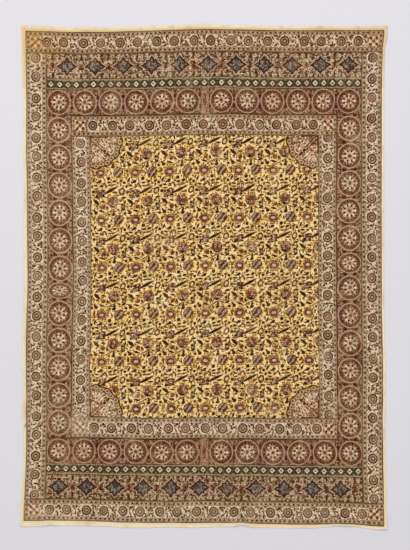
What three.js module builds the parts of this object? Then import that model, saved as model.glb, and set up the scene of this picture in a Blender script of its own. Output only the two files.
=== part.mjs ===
import * as THREE from "three";

// A block-printed cotton panel lying face up, hemmed on its four sides.
// Millimetres, +Z up, +Y towards the panel's top edge. The origin is on the surface that the
// panel lies on, under the middle of its cut rectangle.

const PANEL_WIDTH = 1350;
const PANEL_LENGTH = 1857;
const CLOTH_THICKNESS = 1.2;
const HEM_WIDTH = 8;
const HEM_EXTRA = 0.8;
const HEM_SLOPE = 3;

const STEPS_ACROSS = 54;
const STEPS_ALONG = 66;

const COTTON_COLOUR = 0x9a7d58;
const COTTON_ROUGHNESS = 0.9;

const HALF_WIDTH = PANEL_WIDTH / 2;
const HALF_LENGTH = PANEL_LENGTH / 2;

// How far each edge is drawn in from the cut rectangle. The column "at" runs along the edge
// from its middle: towards +X on the top and bottom edges, towards +Y on the left and right.
const DRAWN_IN = {
  top: [
    { at: -675, inset: 2 },
    { at: -610, inset: 6.5 },
    { at: -480, inset: 12 },
    { at: -430, inset: 9.5 },
    { at: -365, inset: 12 },
    { at: -255, inset: 8.5 },
    { at: -125, inset: 5 },
    { at: 0, inset: 0 },
    { at: 100, inset: 4 },
    { at: 320, inset: 7.5 },
    { at: 450, inset: 6 },
    { at: 580, inset: 7.5 },
    { at: 675, inset: 5 },
  ],
  bottom: [
    { at: -675, inset: 9.5 },
    { at: -610, inset: 10 },
    { at: -565, inset: 15.5 },
    { at: -520, inset: 13 },
    { at: -350, inset: 11 },
    { at: -300, inset: 5.5 },
    { at: -210, inset: 5.5 },
    { at: -125, inset: 8.5 },
    { at: -50, inset: 5.5 },
    { at: 100, inset: 10 },
    { at: 142, inset: 16 },
    { at: 186, inset: 6 },
    { at: 405, inset: 4 },
    { at: 450, inset: 8 },
    { at: 490, inset: 15 },
    { at: 545, inset: 14 },
    { at: 585, inset: 6 },
    { at: 625, inset: 0.5 },
    { at: 675, inset: 0 },
  ],
  left: [
    { at: -928, inset: 0 },
    { at: -866, inset: 0 },
    { at: -808, inset: 4.5 },
    { at: -690, inset: 10.5 },
    { at: -572, inset: 11.5 },
    { at: -513, inset: 7.5 },
    { at: -455, inset: 10.5 },
    { at: -278, inset: 7.5 },
    { at: -160, inset: 8.5 },
    { at: -43, inset: 16 },
    { at: 75, inset: 12.5 },
    { at: 370, inset: 13.5 },
    { at: 487, inset: 8.5 },
    { at: 605, inset: 10.5 },
    { at: 840, inset: 5 },
    { at: 928, inset: 2 },
  ],
  right: [
    { at: -928, inset: 2 },
    { at: -866, inset: 3.5 },
    { at: -631, inset: 7.5 },
    { at: -513, inset: 10.5 },
    { at: -455, inset: 7.5 },
    { at: -337, inset: 7 },
    { at: -219, inset: 10.5 },
    { at: -101, inset: 13 },
    { at: 193, inset: 13.5 },
    { at: 722, inset: 12.5 },
    { at: 840, inset: 10 },
    { at: 899, inset: 1 },
    { at: 928, inset: 0 },
  ],
};

// Places where the hem stands off the surface: "at" is the fold's middle along its edge,
// "halfWidth" its half length there, "reach" how far it runs into the cloth.
const LIFTED_FOLDS = [
  { edge: "top", at: 0, halfWidth: 70, reach: 70, height: 3.5 },
  { edge: "top", at: -430, halfWidth: 60, reach: 50, height: 2 },
  { edge: "bottom", at: 518, halfWidth: 75, reach: 75, height: 6 },
  { edge: "bottom", at: 142, halfWidth: 55, reach: 60, height: 4 },
  { edge: "bottom", at: 675, halfWidth: 70, reach: 80, height: 5 },
  { edge: "bottom", at: -565, halfWidth: 55, reach: 55, height: 3 },
  { edge: "left", at: -43, halfWidth: 75, reach: 60, height: 4 },
  { edge: "left", at: -513, halfWidth: 55, reach: 50, height: 2.5 },
  { edge: "right", at: -513, halfWidth: 60, reach: 55, height: 3 },
  { edge: "right", at: 880, halfWidth: 55, reach: 60, height: 2.5 },
];

// Distances from the edge at which the sheet changes section, from the rim to the flat middle.
const RING_DISTANCES = [0, HEM_WIDTH, HEM_WIDTH + HEM_SLOPE, 30, 55, 90];

/** Smooth value of a table of { at, inset } rows at a place along its edge. */
function insetAt(rows, place) {
  const next = rows.findIndex((row) => row.at >= place);
  if (next === 0) {
    return rows[0].inset;
  }
  if (next < 0) {
    return rows[rows.length - 1].inset;
  }
  const before = rows[next - 1];
  const after = rows[next];
  const share = THREE.MathUtils.smoothstep(place, before.at, after.at);
  return THREE.MathUtils.lerp(before.inset, after.inset, share);
}

/** Distance of a point of the cut rectangle from one edge, and its place along that edge. */
function edgePlace(edge, x, y) {
  const places = {
    top: { away: HALF_LENGTH - y, along: x },
    bottom: { away: HALF_LENGTH + y, along: x },
    left: { away: HALF_WIDTH + x, along: y },
    right: { away: HALF_WIDTH - x, along: y },
  };
  return places[edge];
}

/** Height of the cloth's underside over the surface at a point of the cut rectangle. */
function liftAt(x, y) {
  let height = 0;
  for (const fold of LIFTED_FOLDS) {
    const { away, along } = edgePlace(fold.edge, x, y);
    const off = Math.abs(along - fold.at) / fold.halfWidth;
    const depth = away / fold.reach;
    if (off < 1 && depth < 1) {
      const crest = Math.cos((off * Math.PI) / 2) ** 2;
      height = Math.max(height, fold.height * crest * (1 - depth) ** 2);
    }
  }
  return height;
}

/** Where a point of the cut rectangle lies once its edges are drawn in. */
function laidPoint(x, y) {
  const rightShare = (x + HALF_WIDTH) / PANEL_WIDTH;
  const topShare = (y + HALF_LENGTH) / PANEL_LENGTH;
  const fromLeft = insetAt(DRAWN_IN.left, y) * (1 - rightShare);
  const fromRight = insetAt(DRAWN_IN.right, y) * rightShare;
  const fromBottom = insetAt(DRAWN_IN.bottom, x) * (1 - topShare);
  const fromTop = insetAt(DRAWN_IN.top, x) * topShare;
  return new THREE.Vector2(x + fromLeft - fromRight, y + fromBottom - fromTop);
}

/** Points of the cut rectangle at one distance from its edges, once round, anticlockwise. */
function ringPoints(distance) {
  const a = HALF_WIDTH - distance;
  const b = HALF_LENGTH - distance;
  const sides = [
    { from: [-a, -b], to: [a, -b], steps: STEPS_ACROSS },
    { from: [a, -b], to: [a, b], steps: STEPS_ALONG },
    { from: [a, b], to: [-a, b], steps: STEPS_ACROSS },
    { from: [-a, b], to: [-a, -b], steps: STEPS_ALONG },
  ];
  const points = [];
  for (const { from, to, steps } of sides) {
    for (let step = 0; step < steps; step += 1) {
      const share = step / steps;
      const x = THREE.MathUtils.lerp(from[0], to[0], share);
      const y = THREE.MathUtils.lerp(from[1], to[1], share);
      points.push(new THREE.Vector2(x, y));
    }
  }
  return points;
}

/** One face of the sheet as positions, ring by ring, raised by the cloth's own thickness on top. */
function facePositions(isTop) {
  const positions = [];
  for (const distance of RING_DISTANCES) {
    const hem = distance <= HEM_WIDTH ? HEM_EXTRA : 0;
    const raise = isTop ? CLOTH_THICKNESS + hem : 0;
    for (const point of ringPoints(distance)) {
      const laid = laidPoint(point.x, point.y);
      positions.push(laid.x, laid.y, liftAt(point.x, point.y) + raise);
    }
  }
  return positions;
}

/** Triangles of one face seen from above: bands between the rings, and the flat middle. */
function faceTriangles(ringSize) {
  const triangles = [];
  const lastRing = RING_DISTANCES.length - 1;
  for (let ring = 0; ring < lastRing; ring += 1) {
    for (let step = 0; step < ringSize; step += 1) {
      const nextStep = (step + 1) % ringSize;
      const outer = ring * ringSize + step;
      const outerNext = ring * ringSize + nextStep;
      const inner = outer + ringSize;
      const innerNext = outerNext + ringSize;
      triangles.push([outer, outerNext, innerNext], [outer, innerNext, inner]);
    }
  }
  const middle = ringPoints(RING_DISTANCES[lastRing]).map((point) => laidPoint(point.x, point.y));
  const base = lastRing * ringSize;
  for (const [a, b, c] of THREE.ShapeUtils.triangulateShape(middle, [])) {
    triangles.push([base + a, base + b, base + c]);
  }
  return triangles;
}

/** The whole sheet: underside, top face and the cut rim between them, as one closed body. */
function panelGeometry() {
  const ringSize = 2 * (STEPS_ACROSS + STEPS_ALONG);
  const under = facePositions(false);
  const top = facePositions(true);
  const topBase = under.length / 3;
  const indices = [];
  for (const [a, b, c] of faceTriangles(ringSize)) {
    indices.push(a, c, b);
    indices.push(topBase + a, topBase + b, topBase + c);
  }
  for (let step = 0; step < ringSize; step += 1) {
    const nextStep = (step + 1) % ringSize;
    indices.push(step, nextStep, topBase + nextStep);
    indices.push(step, topBase + nextStep, topBase + step);
  }
  const geometry = new THREE.BufferGeometry();
  geometry.setAttribute("position", new THREE.Float32BufferAttribute([...under, ...top], 3));
  geometry.setIndex(indices);
  geometry.computeVertexNormals();
  return geometry;
}

const printedCotton = new THREE.MeshStandardMaterial({
  color: COTTON_COLOUR,
  roughness: COTTON_ROUGHNESS,
  metalness: 0,
});

const panel = new THREE.Mesh(panelGeometry(), printedCotton);
panel.name = "panel";

const cloth = new THREE.Group();
cloth.add(panel);

export default cloth;
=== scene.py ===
"""Looks of a block-printed cotton panel lying face up on a pale floor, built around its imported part."""

import logging
import math
from abc import ABC, abstractmethod
from collections.abc import Iterable, Sequence
from dataclasses import dataclass
from enum import Enum
from functools import reduce
from typing import NamedTuple, Union

import bpy
import numpy as np
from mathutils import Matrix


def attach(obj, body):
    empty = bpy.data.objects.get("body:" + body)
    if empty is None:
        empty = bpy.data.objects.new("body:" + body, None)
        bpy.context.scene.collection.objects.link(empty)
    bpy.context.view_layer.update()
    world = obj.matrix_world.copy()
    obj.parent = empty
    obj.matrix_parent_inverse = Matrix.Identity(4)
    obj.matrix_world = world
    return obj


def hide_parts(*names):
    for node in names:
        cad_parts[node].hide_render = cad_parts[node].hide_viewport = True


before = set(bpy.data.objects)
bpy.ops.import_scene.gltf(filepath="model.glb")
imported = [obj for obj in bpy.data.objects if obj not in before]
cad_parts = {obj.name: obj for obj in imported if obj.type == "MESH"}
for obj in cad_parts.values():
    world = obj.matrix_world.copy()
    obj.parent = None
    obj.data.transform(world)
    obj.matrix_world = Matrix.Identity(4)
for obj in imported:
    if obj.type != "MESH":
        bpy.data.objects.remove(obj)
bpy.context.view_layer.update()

LOG = logging.getLogger("printed_panel")
MM = 0.001

# Sizes below are millimetres on the flat cloth. The print's own middle is the origin of its layout.
PANEL_WIDTH = 1350.0
PANEL_LENGTH = 1857.0
PRINT_MIDDLE = (2.5, -1.5)
CLOTH_THICKNESS = 1.2
FIELD_CELL = (126.8, 174.7)
SMALL_PERIOD = 140.0
SMALL_GAP = 65.0
MEDALLION_PITCH = 100.0
LOZENGE_PITCH = 105.0
DIAMOND_PITCH = 32.0
FAN_RADIUS = 116.0
FAN_SCALLOP = 6.0
FAN_SWELL = 8.0
FAN_LOBES = 8.0
FAN_MARGIN = 3.0
TONE_CURVE = 2.2


class Ink(Enum):
    """The dyes of the print, in the order in which they are laid on the cotton."""

    WASH = "Wash"
    RED = "Red"
    BLUE = "Blue"
    BLACK = "Black"


class Side(Enum):
    """The four runs of a border. Each is printed with its block turned to face outwards."""

    TOP = 0
    RIGHT = 1
    BOTTOM = 2
    LEFT = 3

    @property
    def is_row(self) -> bool:
        """Tells whether the run lies along the panel's top or bottom edge."""
        return self in (Side.TOP, Side.BOTTOM)


class Zone(Enum):
    """The parts of the printed face, one finish each."""

    HEM = 0
    SMALL = 1
    FLOWER = 2
    LOZENGE = 3
    DIAMOND = 4
    MEDALLION = 5
    FIELD = 6
    FAN = 7


class Hue(NamedTuple):
    """A colour as it shows in daylight, each part from 0 to 255."""

    red: float
    green: float
    blue: float

    def shown(self) -> tuple[float, float, float, float]:
        """Gives the colour as it shows, for inks that are mixed before the tone curve."""
        return (*(part / 255.0 for part in self), 1.0)

    def linear(self) -> tuple[float, float, float, float]:
        """Gives the colour as Blender's linear RGBA."""
        return (*((part / 255.0) ** TONE_CURVE for part in self), 1.0)


COTTON = Hue(242, 223, 195)
BLUE_DYE = Hue(82, 78, 82)
LILAC_DYE = Hue(94, 68, 84)
BLACK_DYE = Hue(42, 20, 0)
GREEN_BLACK = Hue(34, 30, 14)


class Leaf(NamedTuple):
    """A carved leaf or oval: its middle on the block, its full length and width, its turn in degrees."""

    x: float
    y: float
    length: float
    width: float
    turn: float


class Dot(NamedTuple):
    """One carved dot: its middle on the block and its radius."""

    x: float
    y: float
    radius: float


class Rim(NamedTuple):
    """Where a carved shape ends, and half the width over which it fades."""

    limit: float
    soft: float


class Ring(NamedTuple):
    """A carved ring or line: its middle, its half width, and half the width over which it fades."""

    middle: float
    half: float
    soft: float


class Speckles(NamedTuple):
    """Small strewn marks: their spacing, full length and width, their seed and their dark share."""

    spacing: float
    length: float
    width: float
    seed: float
    share: float


class Uneven(NamedTuple):
    """Patchy noise: its scale and detail, where it turns, and the levels before and after."""

    scale: float
    detail: float
    start: float
    end: float
    low: float
    high: float


# The usual fading edge of a carved leaf or dot, in its half sizes.
CUT = Rim(1.0, 0.2)
# A cell of this size holds a whole block, so nothing in it repeats.
FAR = 1000.0
# Strewn marks: how far a seed moves them, how loosely they lie, how they fade and how they part.
SEED_STEP = (37.0, 23.0)
STREWN_LOOSELY = 0.8
SPECKLE_RIM = Rim(1.0, 0.3)
SHARE_SOFT = 0.08

# Dark leaves and stems of the field block, charted from the middle of its daisy.
FIELD_DARK = (
    Leaf(-18.7, 67.8, 26, 13, -40), Leaf(-13.5, 61, 13, 7.2, -20), Leaf(7, 70, 16, 7.2, -10),
    Leaf(23.5, 47.8, 16, 5.8, -62), Leaf(42, 51, 19, 9.4, -6), Leaf(2, 34, 22, 8, -17),
    Leaf(-24.5, 33.5, 16, 8, -50), Leaf(-20.5, 27.5, 13, 13, 30), Leaf(-38.5, 25, 10, 11.6, 60),
    Leaf(46.5, 32, 16, 8.7, 80), Leaf(45.5, 22, 14, 11.6, 20), Leaf(83, 83, 18, 8, 8),
    Leaf(88, 66, 14, 7.2, 70), Leaf(77, 57, 10, 10.2, 60), Leaf(80.5, 38.6, 18, 6.5, 18),
    Leaf(-25, -27, 18, 8, 62), Leaf(-3, -33, 14, 11.6, 35), Leaf(-11, -37, 10, 6.5, 15),
    Leaf(29, -21.5, 13, 13, 50), Leaf(31, -36.5, 14, 8, 12), Leaf(50, -32.5, 14, 9.4, 18),
    Leaf(-18.5, -47.5, 15, 7.2, -12), Leaf(86.8, -37, 10, 11.6, 20), Leaf(9, -86, 11, 8.7, 0),
    Leaf(36.5, -65.5, 54, 10.9, 27), Leaf(-29, -70, 11, 13, 20), Leaf(-14, -86, 13, 10.2, 50),
)
FIELD_OLIVE = (
    Leaf(-16, 53, 13, 7.2, 35), Leaf(34, 35.5, 58, 4.1, 27), Leaf(20.3, 44, 16, 3.8, -80),
    Leaf(29, 21.5, 12, 8, -60), Leaf(38, -1, 13, 6.5, -72), Leaf(62.5, 40, 13, 7.2, -20),
    Leaf(-52, 74, 11, 7.2, 60), Leaf(70.5, 71, 9, 5.8, -40), Leaf(63, -39, 10, 6.5, -55),
    Leaf(75, -31.5, 15, 8.7, 30), Leaf(74, -44, 15, 5.8, 80), Leaf(-32.5, -21, 13, 4.9, 78),
    Leaf(11.5, -41, 9, 8, 20), Leaf(18, -49.5, 15, 7.2, -75), Leaf(31.5, -47.5, 13, 6.5, 4),
    Leaf(46, -46.5, 18, 6.5, 10), Leaf(-31.5, -51.5, 11, 7.2, 60), Leaf(-16.5, -60, 16, 6.5, 10),
    Leaf(93, -50, 10, 7.2, 70), Leaf(60.6, -24.3, 18, 4.3, 88), Leaf(52, -73, 19, 8, 4),
    Leaf(-43, 42, 12, 6, 60), Leaf(-50, 46, 11, 6, -40), Leaf(-41, 54, 12, 5.4, -65),
)
FIELD_BROWN = (
    Leaf(-28.5, 6, 13, 10.4, 80), Leaf(-26.4, -8, 9, 6.5, 45), Leaf(1, -49.5, 15, 8.5, 40),
    Leaf(-18, -70, 10, 10.4, 0), Leaf(24.5, 7, 10, 6.5, 70),
)
# Places that the yellow wash missed, between those leaves.
FIELD_LIGHT = (
    Leaf(-7, 69, 15, 6, 60), Leaf(35, 44, 16, 5, 30), Leaf(-46, 31, 14, 7, 40),
    Leaf(43, 7, 18, 5, 60), Leaf(-10, 38, 13, 6, -30), Leaf(29, -4, 16, 7, 50),
    Leaf(11, -33, 13, 6, 20), Leaf(-6, -42.5, 13, 5, -10), Leaf(9, -56, 15, 6, 10),
    Leaf(29.5, -54, 16, 6, 30), Leaf(53, -66, 18, 5, 25), Leaf(-15, -27, 13, 6, 50),
    Leaf(25, -84, 16, 6, 10), Leaf(-56, -87, 18, 5, 14),
)
# The three petals of the iris.
FIELD_IRIS = (Leaf(-1.8, 93.8, 34, 18, 22), Leaf(2.2, 106.8, 24, 12, 8), Leaf(-13.8, 88.8, 18, 13, 40))

# The small rosette border between its two rosettes, measured along and out from the stronger one.
SMALL_LEAVES = (Leaf(-35, 6, 24, 5, -55), Leaf(-91, 1, 18, 4.4, -60))
SMALL_STROKES = (
    Leaf(-45.5, 11, 18, 4.6, -50), Leaf(-28.5, 8.5, 12, 3.8, -55), Leaf(-97.5, -4.4, 16, 4.4, -68),
    Leaf(-90, -16, 12, 4.2, -50), Leaf(-111.3, 15.7, 15, 4, 80), Leaf(-84, 8, 12, 4, -60),
)
SMALL_DOTS = (
    Dot(-25, -9, 3.2), Dot(-34, -13.5, 4.4), Dot(-42, -5, 3.2), Dot(-29.6, 17, 3.2),
    Dot(-83.3, 18, 3.2), Dot(-104, -14, 3.4), Dot(-111, -3, 3.2), Dot(-99, 12, 3.2),
)

# The lozenge band's pale leaves and dark buds in one quarter of a lozenge's cell.
LOZENGE_LEAVES = (
    Leaf(43, 34, 18, 8, 72), Leaf(34.5, 38, 16, 7, 40), Leaf(40, 21, 13, 6, 15),
    Leaf(14, 42, 15, 6, -28),
)
LOZENGE_BLOBS = (Leaf(27, 27, 13, 12, 0), Leaf(27, 40, 10, 9, 30), Leaf(7, 42.5, 12, 6, -50))

# The corner fan, in distances from the field's corner along its longer and its shorter side.
FAN_WHITE = (Leaf(71, 47, 30, 10, 48), Leaf(84, 34, 26, 8, 30), Leaf(89, 12, 22, 8, 8))
FAN_DOTS = (
    Dot(30, 12, 3.4), Dot(46, 11, 3.8), Dot(46, 27, 3.8), Dot(60, 16, 3.8), Dot(60, 36, 3.8),
    Dot(18, 8, 2.4),
)

Number = Union["Signal", float]


def feed(target: bpy.types.NodeSocket, source: Union["Signal", "Place", float]) -> None:
    """Links a varying value to a socket, or sets a plain number on it.

    Args:
        target: The socket that takes the value.
        source: What it takes.
    """
    if isinstance(source, (Signal, Place)):
        source.tree.links.new(source.socket, target)
    else:
        target.default_value = source


def compute(tree: bpy.types.NodeTree, operation: str, *values: Number) -> "Signal":
    """Adds one Math node.

    Args:
        tree: The node tree that takes it.
        operation: The Math node's operation.
        values: Its inputs in order.

    Returns:
        The node's result.
    """
    node = tree.nodes.new("ShaderNodeMath")
    node.operation = operation
    for target, value in zip(node.inputs, values):
        feed(target, value)
    return Signal(tree, node.outputs[0])


@dataclass(frozen=True)
class Signal:
    """A value that varies over the cloth. Its arithmetic adds nodes."""

    tree: bpy.types.NodeTree
    socket: bpy.types.NodeSocket

    def __add__(self, other: Number) -> "Signal":
        """Adds another value."""
        return compute(self.tree, "ADD", self, other)

    def __sub__(self, other: Number) -> "Signal":
        """Takes another value away."""
        return compute(self.tree, "SUBTRACT", self, other)

    def __mul__(self, other: Number) -> "Signal":
        """Multiplies by another value."""
        return compute(self.tree, "MULTIPLY", self, other)

    def __truediv__(self, other: Number) -> "Signal":
        """Divides by another value."""
        return compute(self.tree, "DIVIDE", self, other)

    def __abs__(self) -> "Signal":
        """Drops the sign."""
        return compute(self.tree, "ABSOLUTE", self)

    def rest(self, whole: float = 1.0) -> "Signal":
        """Gives what is left of a whole."""
        return compute(self.tree, "SUBTRACT", whole, self)

    def spare(self, strength: float) -> "Signal":
        """Gives what a mask of some strength leaves free."""
        return (self * strength).rest()

    def sine(self) -> "Signal":
        """Gives the sine of an angle."""
        return compute(self.tree, "SINE", self)

    def cosine(self) -> "Signal":
        """Gives the cosine of an angle."""
        return compute(self.tree, "COSINE", self)

    def lesser(self, other: Number) -> "Signal":
        """Gives the smaller of two values."""
        return compute(self.tree, "MINIMUM", self, other)

    def greater(self, other: Number) -> "Signal":
        """Gives the larger of two values."""
        return compute(self.tree, "MAXIMUM", self, other)

    def wrapped(self, period: float) -> "Signal":
        """Repeats the value every period, about zero."""
        return compute(self.tree, "WRAP", self, period / 2, -period / 2)

    def step(self, start: float, end: float, low: float, high: float) -> "Signal":
        """Turns the value smoothly from one level to another.

        Args:
            start: Where the turn begins.
            end: Where it ends.
            low: The level before it.
            high: The level after it.

        Returns:
            The level.
        """
        node = self.tree.nodes.new("ShaderNodeMapRange")
        node.interpolation_type = "SMOOTHSTEP"
        for target, value in zip(node.inputs, (self, start, end, low, high)):
            feed(target, value)
        return Signal(self.tree, node.outputs[0])

    def below(self, limit: float, soft: float) -> "Signal":
        """Gives one under a limit and zero over it."""
        return self.step(limit - soft, limit + soft, 1.0, 0.0)

    def above(self, limit: float, soft: float) -> "Signal":
        """Gives one over a limit and zero under it."""
        return self.step(limit - soft, limit + soft, 0.0, 1.0)

    def near(self, middle: float, half: float, soft: float) -> "Signal":
        """Gives one within a half width of a middle value."""
        return abs(self - middle).below(half, soft)


def strongest(*layers: tuple[Signal, float]) -> Signal:
    """Lays masks of one ink over each other, each with its own strength."""
    return reduce(Signal.greater, (mask * strength for mask, strength in layers))


def span(across: Signal, along: Signal) -> Signal:
    """Gives the length of two steps at right angles."""
    return compute(across.tree, "SQRT", across * across + along * along)


def bearing(up: Signal, right: Signal) -> Signal:
    """Gives the angle of a place about the origin."""
    return compute(up.tree, "ARCTAN2", up, right)


def diamond(across: Signal, along: Signal, half: tuple[float, float]) -> Signal:
    """Measures a straight-sided diamond in its half sizes: one on its outline and less inside."""
    return across / half[0] + along / half[1]


def bulge(rounded: Signal, pointed: Signal) -> Signal:
    """Measures a leaf in its half sizes, rounded one way and pointed the other."""
    return compute(rounded.tree, "MULTIPLY_ADD", rounded, rounded, pointed)


@dataclass(frozen=True)
class Place:
    """A place on a printing block that varies over the cloth. Its methods add nodes."""

    tree: bpy.types.NodeTree
    socket: bpy.types.NodeSocket

    def _vector(self, operation: str, *vectors: Sequence[float]) -> bpy.types.Node:
        """Adds one Vector Math node.

        Args:
            operation: The node's operation.
            vectors: Its inputs after this place.

        Returns:
            The node.
        """
        node = self.tree.nodes.new("ShaderNodeVectorMath")
        node.operation = operation
        feed(node.inputs[0], self)
        for target, vector in zip(list(node.inputs)[1:], vectors):
            target.default_value = vector
        return node

    def shifted(self, x: float, y: float) -> "Place":
        """Measures from another point."""
        return Place(self.tree, self._vector("SUBTRACT", (x, y, 0.0)).outputs["Vector"])

    def wrapped(self, width: float, height: float) -> "Place":
        """Repeats the place over cells of one size, each about its own middle."""
        high = (width / 2, height / 2, 1.0)
        return Place(self.tree, self._vector("WRAP", high, [-part for part in high]).outputs["Vector"])

    def repeated(self, x: float, y: float, cell: tuple[float, float]) -> "Place":
        """Measures from a point that stands in every cell."""
        return self.shifted(x, y).wrapped(*cell)

    def folded(self) -> "Place":
        """Folds the four quarters onto one."""
        return Place(self.tree, self._vector("ABSOLUTE").outputs["Vector"])

    def reach(self) -> Signal:
        """Gives the distance from the origin."""
        return Signal(self.tree, self._vector("LENGTH").outputs["Value"])

    def _along(self, axis: Sequence[float]) -> Signal:
        """Measures along one axis."""
        return Signal(self.tree, self._vector("DOT_PRODUCT", axis).outputs["Value"])

    def parts(self) -> tuple[Signal, Signal]:
        """Gives the two coordinates."""
        return self._along((1.0, 0.0, 0.0)), self._along((0.0, 1.0, 0.0))

    def within(self, row: Leaf) -> "Place":
        """Measures from the middle of a turned shape, in its half sizes.

        Args:
            row: The shape.

        Returns:
            The place in the shape's own units.
        """
        node = self.tree.nodes.new("ShaderNodeMapping")
        node.vector_type = "TEXTURE"
        feed(node.inputs["Vector"], self)
        node.inputs["Location"].default_value = (row.x, row.y, 0.0)
        node.inputs["Rotation"].default_value = (0.0, 0.0, math.radians(row.turn))
        node.inputs["Scale"].default_value = (row.length / 2, row.width / 2, 1.0)
        return Place(self.tree, node.outputs[0])

    def lens(self, length: float, width: float, turn: float = 0.0) -> Signal:
        """Draws a pointed leaf about the origin.

        Args:
            length: Its full length.
            width: Its full width.
            turn: Its turn in degrees.

        Returns:
            One on its outline and less inside it.
        """
        cosine = 2 * math.cos(math.radians(turn))
        sine = 2 * math.sin(math.radians(turn))
        along = self._along((cosine / length, sine / length, 0.0))
        across = self._along((-sine / width, cosine / width, 0.0))
        return bulge(across, abs(along))

    def leaves(self, rows: Iterable[Leaf], cell: tuple[float, float]) -> Signal:
        """Gathers leaves that repeat over cells: one on their outlines and less inside them."""
        shapes = (self.repeated(row.x, row.y, cell).lens(row.length, row.width, row.turn) for row in rows)
        return reduce(Signal.lesser, shapes)

    def dots(self, rows: Iterable[Dot], cell: tuple[float, float]) -> Signal:
        """Gathers dots that repeat over cells: one on their outlines and less inside them."""
        shapes = (self.repeated(row.x, row.y, cell).reach() / row.radius for row in rows)
        return reduce(Signal.lesser, shapes)

    def speckles(self, row: Speckles) -> tuple[Signal, Signal]:
        """Strews small carved marks, each turned its own way, some dark and some light.

        Args:
            row: The marks.

        Returns:
            The dark marks and the light marks.
        """
        moved = self.shifted(row.seed * SEED_STEP[0], row.seed * SEED_STEP[1])
        cells = self.tree.nodes.new("ShaderNodeTexVoronoi")
        cells.voronoi_dimensions = "2D"
        feed(cells.inputs["Vector"], moved)
        cells.inputs["Scale"].default_value = 1.0 / row.spacing
        cells.inputs["Randomness"].default_value = STREWN_LOOSELY
        off = moved._vector("SUBTRACT")
        self.tree.links.new(cells.outputs["Position"], off.inputs[1])
        way, chance = Place(self.tree, cells.outputs["Color"]).parts()
        turn = self.tree.nodes.new("ShaderNodeVectorRotate")
        turn.rotation_type = "Z_AXIS"
        self.tree.links.new(off.outputs["Vector"], turn.inputs["Vector"])
        feed(turn.inputs["Angle"], way * (2 * math.pi))
        shape = Place(self.tree, turn.outputs["Vector"]).lens(row.length, row.width)
        mark = shape.below(*SPECKLE_RIM)
        return mark * chance.below(row.share, SHARE_SOFT), mark * chance.above(row.share, SHARE_SOFT)

    def noise(self, scale: float, detail: float, flavour: str = "Fac") -> bpy.types.NodeSocket:
        """Adds a noise texture read at this place.

        Args:
            scale: Features for each unit of length.
            detail: Octaves of finer noise.
            flavour: The output wanted.

        Returns:
            The noise texture's output.
        """
        node = self.tree.nodes.new("ShaderNodeTexNoise")
        feed(node.inputs["Vector"], self)
        node.inputs["Scale"].default_value = scale
        node.inputs["Detail"].default_value = detail
        return node.outputs[flavour]

    def blotch(self, scale: float, detail: float) -> Signal:
        """Gives uneven grey noise at this place."""
        return Signal(self.tree, self.noise(scale, detail))

    def uneven(self, row: Uneven) -> Signal:
        """Gives patchy noise between two levels."""
        return self.blotch(row.scale, row.detail).step(row.start, row.end, row.low, row.high)


@dataclass(frozen=True)
class GuardStripe:
    """The dotted stripe that edges a rosette border, placed by its distance from the border's middle."""

    pitch: float = 17.5
    start: Rim = Rim(21.8, 0.4)
    middle: float = 29.3
    line: Rim = Rim(37.8, 0.6)
    bead_long: float = 4.2
    bead_wide: float = 3.9
    spot_long: float = 3.4
    bead_rim: Rim = Rim(1.0, 0.45)
    edges: Ring = Ring(7.0, 1.2, 0.5)
    red_share: float = 1.0
    ground: Speckles = Speckles(7.0, 7.5, 4.2, 31.0, 0.5)

    def carve(self, place: Place, along: Signal, out: Signal) -> dict[Ink, Signal]:
        """Draws the stripe.

        Args:
            place: The place on the block.
            along: Distance along the stripe.
            out: Distance from the border's middle.

        Returns:
            Masks of the inks that it holds.
        """
        off = out - self.middle
        bead = abs(along.wrapped(self.pitch))
        depth = off / self.bead_wide
        depth = depth * depth
        seed = bulge(bead / self.bead_long, depth).below(*self.bead_rim)
        spot = bulge((bead - self.pitch / 2) / self.spot_long, depth).below(*self.bead_rim)
        edge = abs(off).near(*self.edges)
        dark, light = place.speckles(self.ground)
        black = strongest((seed, 0.8), (edge, 0.4), (dark, 0.5), (out.above(*self.line), 0.8))
        return {
            Ink.WASH: strongest((spot, 0.42), (light, 0.4)).rest(),
            Ink.RED: (seed * 0.3 + 0.12) * self.red_share,
            Ink.BLACK: black.greater(0.14),
        }

    def beside(
        self, inner: dict[Ink, Signal], place: Place, along: Signal, out: Signal
    ) -> dict[Ink, Signal]:
        """Sets a border's own print inside the stripe.

        Args:
            inner: Masks of the border's own print.
            place: The place on the block.
            along: Distance along the stripe.
            out: Distance from the border's middle.

        Returns:
            Masks of the two together.
        """
        guarded = out.above(*self.start)
        inside = guarded.rest()
        stripe = self.carve(place, along, out)
        return {ink: mask * inside + stripe[ink] * guarded for ink, mask in inner.items()}


class Block(ABC):
    """A carved printing block as a shader node group: a place on it in, one mask for each ink out."""

    title = "Block"

    def build(self) -> bpy.types.NodeTree:
        """Builds the group.

        Returns:
            The node group.
        """
        tree = bpy.data.node_groups.new(self.title, "ShaderNodeTree")
        tree.interface.new_socket("Place", in_out="INPUT", socket_type="NodeSocketVector")
        for ink in Ink:
            tree.interface.new_socket(ink.value, in_out="OUTPUT", socket_type="NodeSocketFloat")
        start = tree.nodes.new("NodeGroupInput")
        end = tree.nodes.new("NodeGroupOutput")
        for ink, mask in self.carve(Place(tree, start.outputs["Place"])).items():
            feed(end.inputs[ink.value], mask)
        return tree

    @abstractmethod
    def carve(self, place: Place) -> dict[Ink, Signal]:
        """Draws the block: from a place on it to masks of the inks that it holds."""


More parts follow.
